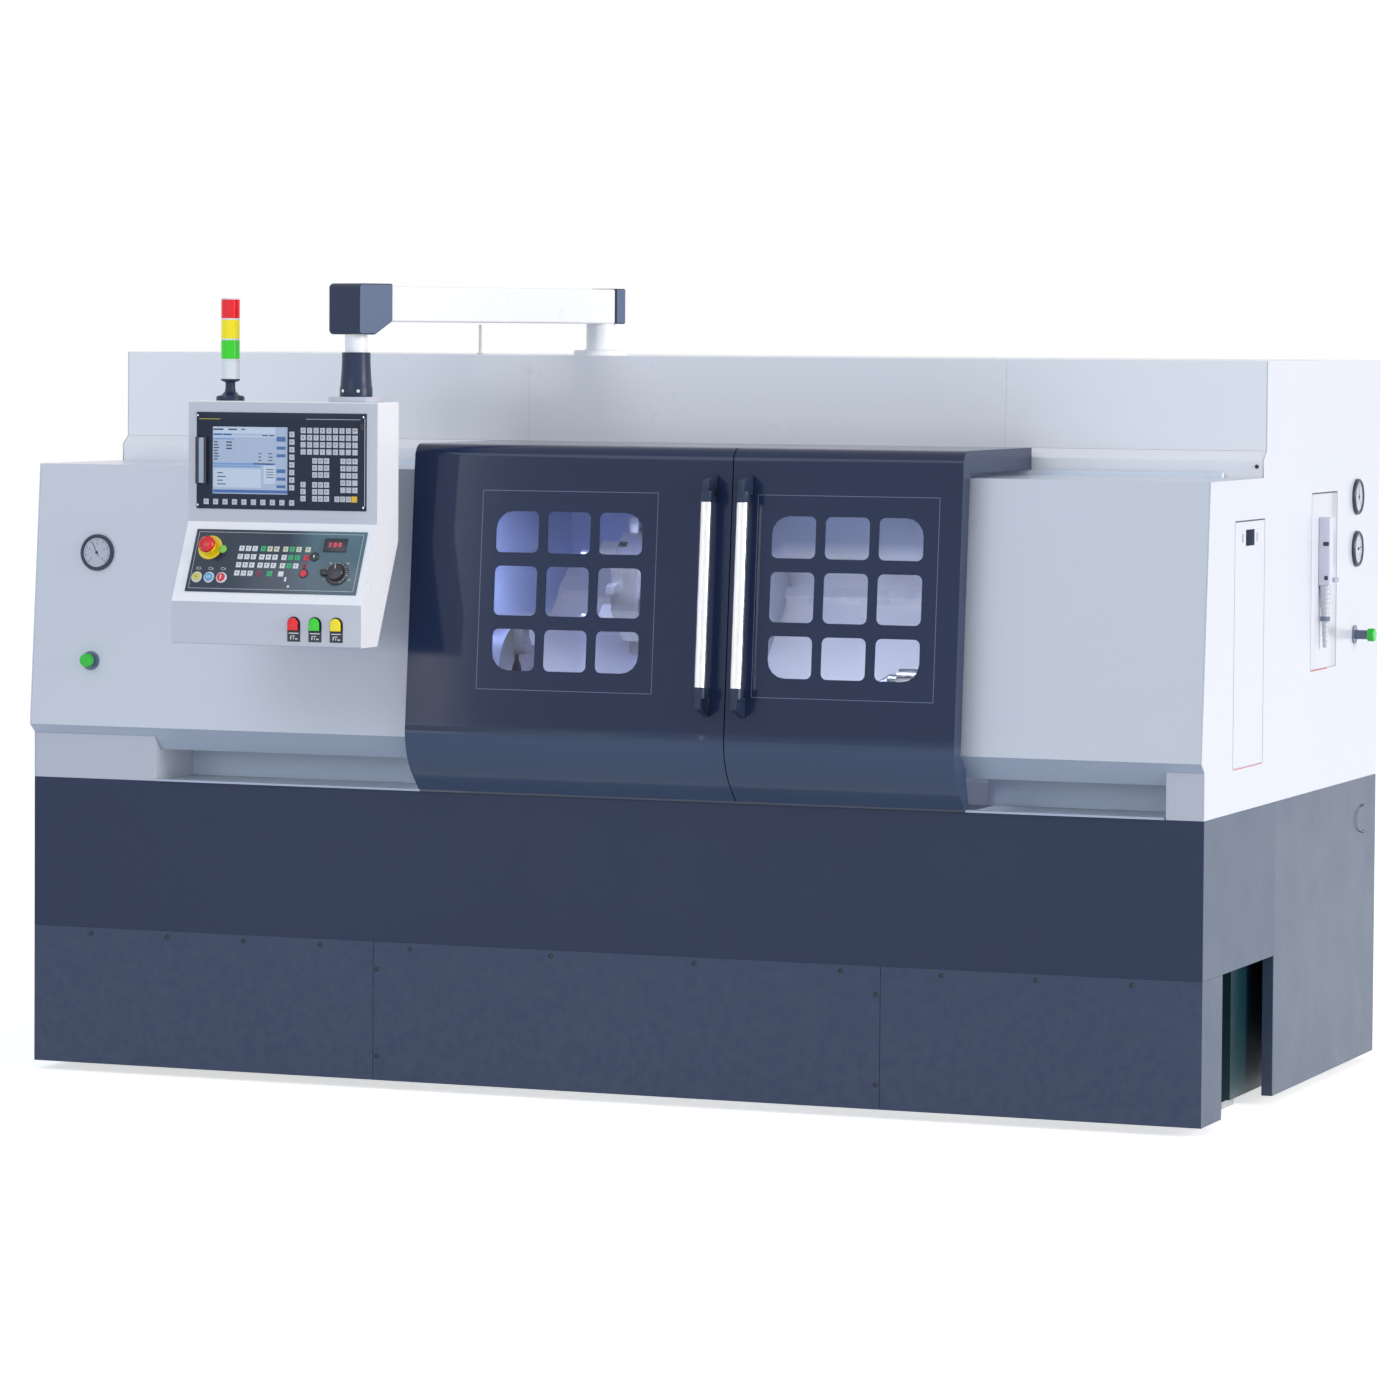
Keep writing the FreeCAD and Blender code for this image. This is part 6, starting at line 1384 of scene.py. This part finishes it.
# %% Round buttons with signs
def round_button(name, x, body, material, sign, ink):
    """A white ring on the panel, and a plunger that moves with its own body."""
    place = at(desk, x, 40, plate_top)
    turned_piece(name + "_ring", "console", white_plastic, place,
                 [(11.1, 0), (15, 0), (15, 3.6), (14, 5), (12, 5), (11.1, 4.4), (11.1, 0)], 48)
    turned_piece(name + "_face", body, material, place,
                 [(0, 3.2), (11, 3.2), (11, 7.2), (10.2, 8), (0, 8)], 40, (body,))
    form = bmesh.new()
    for low, high in sign:
        slab(form, (*low, 8), (*high, 8.12))
    add_piece(form, name + "_sign", body, ink, place)


button_columns = (29, 65, 101)
round_button("reset", button_columns[0], "button_yellow", yellow_soft,
             [((-4, -0.6), (4, 0.6)), ((-4, 0.6), (-2.8, 4)), ((2.8, -4), (4, -0.6))], mark_black)
round_button("start", button_columns[1], "button_blue", blue_plastic,
             [((-5, -4), (-3.6, 4)), ((-0.7, -4), (0.7, 4)), ((3.6, -4), (5, 4))], mark_white)
round_button("hold", button_columns[2], "button_red", red_plastic, [((-1.4, -6), (1.4, 6))], mark_white)
print("round buttons:", len(button_columns))

# %% [markdown]
# ## Small signs and the key switch
#
# The signs over the buttons are a few strokes each, made of thin blocks. The key switch is a stepped
# turning with a slot, and the red key beside it sits in a black seat.

# %% Small signs, the red key and the key switch
strokes = [((x + left, low), (x + right, high)) for x in button_columns
           for left, low, right, high in ((-7, 63, -6, 70), (-7, 69, 1, 70), (-4, 63, 3, 64),
                                          (3.4, 63, 4.4, 70), (5.6, 63, 6.6, 67))]
strokes += [((284, 34), (290, 46)), ((296, 17), (302, 23))]
slabs_piece("desk_signs", "console", mark_white, desk,
            [((*low, plate_top), (*high, plate_top + mark_height)) for low, high in strokes])
red_spot, switch_spot = at(desk, 337, 57, plate_top), at(desk, 359, 106, plate_top)
turned_piece("desk_round_red", "console", key_red, red_spot,
             [(0, 0), (9.5, 0), (9.5, 3.4), (8.6, 4.4), (0, 4.4)], 32)
turned_piece("desk_round_seat", "console", black_plastic, red_spot,
             [(0, 0), (13, 0), (13, 1), (12, 1.6), (0, 1.6)], 40)
turned_piece("key_switch", "console", black_plastic, switch_spot,
             [(0, 0), (12.5, 0), (12.5, 3), (11, 5), (7, 5.4), (5, 4.4), (0, 4.4)], 40)
slabs_piece("key_switch_slot", "console", chrome, switch_spot, [((-0.9, -4, 4.4), (0.9, 4, 4.7))])
print("strokes of the signs:", len(strokes))

# %% [markdown]
# ## Feed dial and read-out
#
# The override dial has a wide skirt with a ring of pale ticks, and a fluted grip. Its little lug
# sticks out to the left. Skirt, ticks, grip and lug turn as one body, while the numbers stay on the
# panel.

# %% Dial
dial_x, dial_y, grip_top = 434, 58, 20.4
dial_spot = at(desk, dial_x, dial_y, plate_top)
turned_piece("dial_skirt", "dial", black_plastic, dial_spot,
             [(5.1, 0.4), (33, 0.4), (33, 2), (30, 5.5), (25, 7), (5.1, 7), (5.1, 0.4)], 72)
grip = bmesh.new()
lathe(grip, [(5.1, 7), (23, 7), (22, 17.5), (20.5, 19.6), (17, grip_top), (0, grip_top)], 60)
sides = [face for face in grip.faces if abs(face.normal.z) < 0.3 and face.calc_area() > 15]
bmesh.ops.inset_individual(grip, faces=sides[::2], thickness=0.3, depth=-0.8)
add_piece(grip, "dial_grip", "dial", black_plastic, dial_spot, ("override_dial",))
lug = bmesh.new()
slab(lug, (-46, -7, 2), (-20, 9, 13))
soften(lug, 3.4, 3)
add_piece(lug, "dial_lug", "dial", black_plastic, dial_spot)
slabs_piece("dial_pointer", "dial", mark_white, dial_spot,
            [((-0.8, 8, grip_top), (0.8, 19, grip_top + 0.2))])
ticks = bmesh.new()
for step in range(21):
    half = 0.75 if step % 2 == 0 else 0.4
    turn_flat(ticks, slab(ticks, (27.5, -half, 6.3), (31, half, 6.9)), -60 + 12.0 * step)
add_piece(ticks, "dial_ticks", "dial", mark_white, dial_spot)
scale = bmesh.new()
for step, number in enumerate(("0", "50", "100", "150")):
    angle = math.radians(205 - 76 * step)
    words_on(scale, number, dial_x + 40 * math.cos(angle), dial_y + 40 * math.sin(angle), plate_top, 6)
add_piece(scale, "dial_scale", "console", mark_white, desk)
print("flutes on the dial:", len(sides[::2]))

# %% [markdown]
# ## Read-out
#
# Above the dial a black window shows three red figures. A dark plum patch behind each one stands for
# the unlit segments round it.

# %% Read-out
slabs_piece("readout_case", "console", black_plastic, desk, [((380, 121, plate_top), (446, 159, 6.2))],
            1.0)
figures, glow_spots = bmesh.new(), bmesh.new()
window_top, figure_pitch = 6.2, 14
for column, figure in enumerate("100"):
    shift = figure_pitch * column
    words_on(figures, figure, 399 + shift, 140, window_top, 17)
    slab(glow_spots, (392.6 + shift, 132, window_top), (405.2 + shift, 148, window_top + 0.02))
add_piece(figures, "readout_figures", "console", digit_red, desk)
add_piece(glow_spots, "readout_glow", "console", key_plum, desk)
print("figures in the read-out: 3")

# %% [markdown]
# ## Lamp buttons
#
# Under the desk three lamp buttons stand on dark plates. Each lens is a thick shield with a straight
# foot and a round top, so it is drawn as an outline, extruded and softened, in place of a turned piece.
# It sinks into a tray of the same outline when it is pressed. The plate behind both is larger and
# carries plain white marks below.

# %% Lamp buttons
plate_marks = bmesh.new()
button_x, button_pitch, button_y, mark_low = 358, 61.5, 58, 1.2
lamp_marks = ((-14, 34, 14, 36.4), (-10, 19, -7, 29), (-10, 27, 4, 29), (4, 19, 11, 22), (-2, 19, 0, 25))


def lamp_button(body, material, x):
    """A plate, a tray with a pressed-in floor, and a lens that moves with its own body."""
    foot = at(lower_face, x, button_y)
    plate, tray, lens = bmesh.new(), bmesh.new(), bmesh.new()
    arch(plate, 37, 66, 0, mark_low)
    add_piece(plate, body + "_plate", "console", black_plastic, at(foot, 0, -45))
    arch(tray, 34, 37, mark_low, 4.6)
    tray.normal_update()
    top = [face for face in tray.faces if face.normal.z > 0.9]
    bmesh.ops.inset_individual(tray, faces=top, thickness=1.5, depth=-3.3)
    add_piece(tray, body + "_tray", "console", black_plastic, at(foot, 0, -17))
    arch(lens, 30, 33, 4.5, 9.6, 24)
    soften(lens, 2.2, 3, 40)
    add_piece(lens, body + "_lens", body, material, at(foot, 0, -15), (body,))
    for left, low, right, high in lamp_marks:
        slab(plate_marks, (x + left, low, mark_low), (x + right, high, mark_low + mark_height))


for index, (colour, material) in enumerate((("red", lamp_red), ("green", lamp_green),
                                            ("yellow", lamp_yellow))):
    lamp_button("lamp_button_" + colour, material, button_x + button_pitch * index)
add_piece(plate_marks, "lamp_plate_marks", "console", mark_white, lower_face)
print("lamp buttons: 3")

# %% [markdown]
# ## The console's case
#
# The case is a folded box. It gets rounded folds like the other covers, and its right and upper faces
# take a whiter coat, painted light, because they look at the key lamp and stand out almost white beside
# the grey front.

# %% Console case
print("console box folds:", dressed("console_box", "console", case_paint, 0.003, 3))
# painted light on the case's right and upper faces
paint_bright_faces("console_box_cover", case_painted_light, upward=0.3)

# %% [markdown]
# ## Hatch and service plate on the right wall
#
# The right wall carries a tall hinged hatch with a square rubber latch, and a service plate. The hatch
# gets the same folded edge as the covers, and its latch is a separate dark insert. The thin gaps round
# both are drawn by narrow strips: a dark strip at the top that is a painted shadow under the top edge,
# red below and grey at the sides.

# %% Hatch and seams
dressed("side_hatch", "hatch", pale_paint, 0.0012)
latch = at(right_wall, -538.5, 1523)
slabs_piece("hatch_latch", "hatch", latch_rubber, latch, [((-38, -21, 0.05), (38, 21, 1.6))], 0.6)
slabs_piece("hatch_slits", "hatch", grey_dark, latch,
            [((-74, -11, 0.02), (-64, 11, 0.3)), ((64, -11, 0.02), (72, 11, 0.3))])
# painted shadow under the top edges of the hatch and the service plate
slabs_piece("wall_shadow_lines", "machine", boom_dark, right_wall,
            [((-679, 1566.2, 0.02), (-398, 1569, 0.5)), ((78, 1621.2, 0.02), (341, 1624, 0.5))])
slabs_piece("wall_seams", "machine", seam_grey, right_wall,
            [((left, low, 0.02), (left + 2.8, high, 0.2))
             for left, low, high in ((-682.4, 926, 1566), (-397.4, 926, 1566), (75.2, 1142, 1621),
                                     (341, 1142, 1621))])
slabs_piece("wall_accents", "machine", red_plastic, right_wall,
            [((79, 1139.0, 0.02), (250, 1141.6, 0.5)), ((-676, 922.6, 0.02), (-402, 924.8, 0.5))])
slabs_piece("service_plate", "machine", pale_paint, right_wall,
            [((78.8, 1142.8, -3), (340.2, 1620.2, 0))], 1.0)
print("hatch and service plate dressed")

# %% [markdown]
# ## The lubricator
#
# A grey pump head over a white reservoir that narrows downwards. The reservoir is a turned profile
# whose little steps are its moulded ribs, and the head is a softened block with two dark clips and the
# lever that primes it.

# %% Pump head, clips and reservoir
pump = at(right_wall, 166, 0)
head_low, head_high = 1371, 1557
form = bmesh.new()
slab(form, (-17, head_low, 0), (17, head_high, 33))
soften(form, 4.0, 3)
add_piece(form, "pump_head", "machine", pump_plastic, pump, ("lubricator",))
slabs_piece("pump_clips", "machine", gauge_rim, pump,
            [((-18.6, 1479, 13), (-16, 1490, 29)), ((-18.2, 1386, 17), (-16, 1397, 27))], 0.8)
reservoir = [(0, 1201), (5, 1201)]
rib_count, rib_pitch, rib_growth = 13, 13, 0.78
for rib in range(rib_count):
    low, radius = 1203 + rib * rib_pitch, 5.5 + rib * rib_growth
    reservoir += [(radius, low), (radius + 1, low + 3), (radius + 1, low + 9), (radius, low + 12)]
reservoir += [(14.6, head_low), (0, head_low)]
standing = pump @ Matrix.Translation((0, 0, 16.5)) @ Matrix.Rotation(-math.pi / 2, 4, "X")
turned_piece("pump_reservoir", "machine", cup_plastic, standing, reservoir, 40)
turned_piece("pump_ring", "machine", slate_and_highlight, standing,
             [(10, 1274), (13.4, 1274), (13.4, 1286), (10, 1286), (10, 1274)], 40)
slabs_piece("pump_lever", "machine", grey_plastic, pump, [((10, 1379, 24), (58, 1391, 40))], 2.5)
print("ribs of the reservoir:", rib_count)

# %% [markdown]
# ## The pull on the lower side panel
#
# A thin bent wire, like those of lift-off panels, held by a cap screw at each end. A small circle is
# spun through half a turn for the bow and then drawn out sideways, so that the bow is deeper than wide.

# %% Side pull and ledge screw
wire_radius, bow = 1.3, 36.5
form = bmesh.new()
wire = bmesh.ops.create_circle(form, segments=12, radius=wire_radius)["verts"]
bmesh.ops.rotate(form, cent=(0, 0, 0), matrix=Matrix.Rotation(math.pi / 2, 3, "Y"), verts=wire)
bmesh.ops.translate(form, vec=(0, bow, 4), verts=wire)
bmesh.ops.spin(form, geom=form.verts[:] + form.edges[:], angle=math.pi, steps=24, axis=(0, 0, 1))
bmesh.ops.holes_fill(form, edges=form.edges[:])
bmesh.ops.scale(form, vec=(2, 1, 1), verts=form.verts)
bmesh.ops.recalc_face_normals(form, faces=form.faces)
for height in (-bow, bow):
    cap_screw(form, 0, height, 4.5, 6.0)
add_piece(form, "side_pull", "machine", grey_dark, at(right_wall, 659, 695.5))
ledge_screw = bmesh.new()
cap_screw(ledge_screw, 0, 0, 5.5, 2.6)
add_piece(ledge_screw, "ledge_screw", "machine", black_plastic, front_facing((1656, -412, 1705)))
print("right wall dressed")

# %% [markdown]
# ## Windows
#
# Each door has a raised window panel with nine rounded openings. A fine bright line is a painted
# highlight for the light that the panel's edge catches: four thin strips round the panel, so it never
# covers a pane.

# %% Window highlights
def window_bead(side, centre):
    """A painted highlight: a frame of four strips round a window panel, from its inner to its outer edge."""
    half, low, high = 249.4, 0.6, 527.4
    wide, foot, top = half + 1.5, low - 1.5, high + 1.5
    back, front = -0.5, 0.35
    boxes = [((-wide, foot, back), (wide, low, front)), ((-wide, high, back), (wide, top, front)),
             ((-wide, low, back), (-half, high, front)), ((half, low, back), (wide, high, front))]
    slabs_piece("window_bead_" + side, "door_" + side, slate_and_highlight, door_facing(centre), boxes)


window_bead("left", -55)
window_bead("right", 726)
print("windows dressed")

# %% [markdown]
# ## The work lamp
#
# A tube lamp under the chamber's roof lights the machine inside, which is why the panes look pale violet
# while the paint round them is dark. It lies in an open trough, as machine lamps do: the trough keeps
# its light off the doors' top edge, and two cheeks close it beside the tube.

# %% Tube and trough
lamp_y, lamp_radius, lamp_length = -560, 20, 1330
lamp_place = Matrix.Scale(0.001, 4) @ Matrix.Translation((-480, lamp_y, 1610)) @ (
    Matrix.Rotation(math.pi / 2, 4, "Y"))
turned_piece("work_lamp_tube", "machine", work_light, lamp_place,
             [(0, 0), (lamp_radius, 0), (lamp_radius, lamp_length), (0, lamp_length)], 24)
left, right, reach, sheet = -557, 1085, 44, 4
slabs_piece("work_lamp_housing", "machine", inner_paint, front_facing((0, lamp_y, 1590)),
            [((left, reach, -reach), (right, reach + 6, reach)),
             ((left, 0, reach - sheet), (right, reach, reach)),
             ((left, 0, -reach), (right, reach, sheet - reach)),
             ((-470, 0, sheet - reach), (sheet - 470, reach, reach - sheet)),
             ((880, 0, sheet - reach), (sheet + 880, reach, reach - sheet))])
print("tube length in mm:", lamp_length)

# %% [markdown]
# ## Which finish goes on which piece
#
# Every piece of the construction model keeps its shape and gets a finish here. Where a piece was built
# anew above, the plain one is hidden and its finish is only a spare.

# %% Finish table
finishes = {
    pale_paint: ["side_walls"],
    hood_paint: ["hood_left", "hood_right"],
    rail_paint: ["door_rails"],
    toe_painted_shade: ["toe_blocks"],
    pale_painted_light: ["roof_box_panels"],
    dark_paint: ["kick_panels"],
    side_dark_painted_light: ["side_base_panels"],
    band_paint: ["front_band"],
    rear_paint: ["rear_panels"],
    door_paint_with_painted_light: ["door_left", "door_right", "window_panel_left", "window_panel_right"],
    bed_paint: ["bed_casting"],
    inner_paint: ["chamber_walls", "chip_chute"],
    iron_paint: ["headstock", "saddle", "cross_slide", "tailstock"],
    way_paint: ["guide_rails"],
    ground_steel: ["quill"],
    turned_steel: ["spindle", "chuck_body", "jaw_1", "jaw_2", "jaw_3", "turret_disc", "turret_tools"],
    zinc_steel: ["levelling_feet", "swivel_collar"],
    tube_metal: ["handle_left", "handle_right"],
    glazing: ["window_glass_left", "window_glass_right"],
    boom_white: ["boom_post", "boom_arm", "tower_light"],
    boom_dark: ["boom_ends"],
    case_paint: ["console_box"],
    frame_plastic: ["display_unit"],
    screen_ground: ["display_screen"],
    panel_film: ["machine_panel"],
    key_film: ["console_keys"],
    black_plastic: ["side_hatch", "override_dial"],
    chrome: ["gauges", "regulator_stems"],
    pump_plastic: ["lubricator"],
    red_plastic: ["estop_button", "button_red", "lamp_button_red"],
    yellow_plastic: ["button_yellow", "lamp_button_yellow"],
    green_plastic: ["lamp_button_green", "regulator_knob_left", "regulator_knob_right"],
    blue_plastic: ["button_blue"],
}
dressed_nodes = set()
for material, names in finishes.items():
    for name in names:
        mesh = nodes[name].data
        mesh.materials.clear()
        mesh.materials.append(material)
        dressed_nodes.add(name)
print("nodes with a finish:", len(dressed_nodes), "of", len(nodes), sorted(set(nodes) - dressed_nodes))
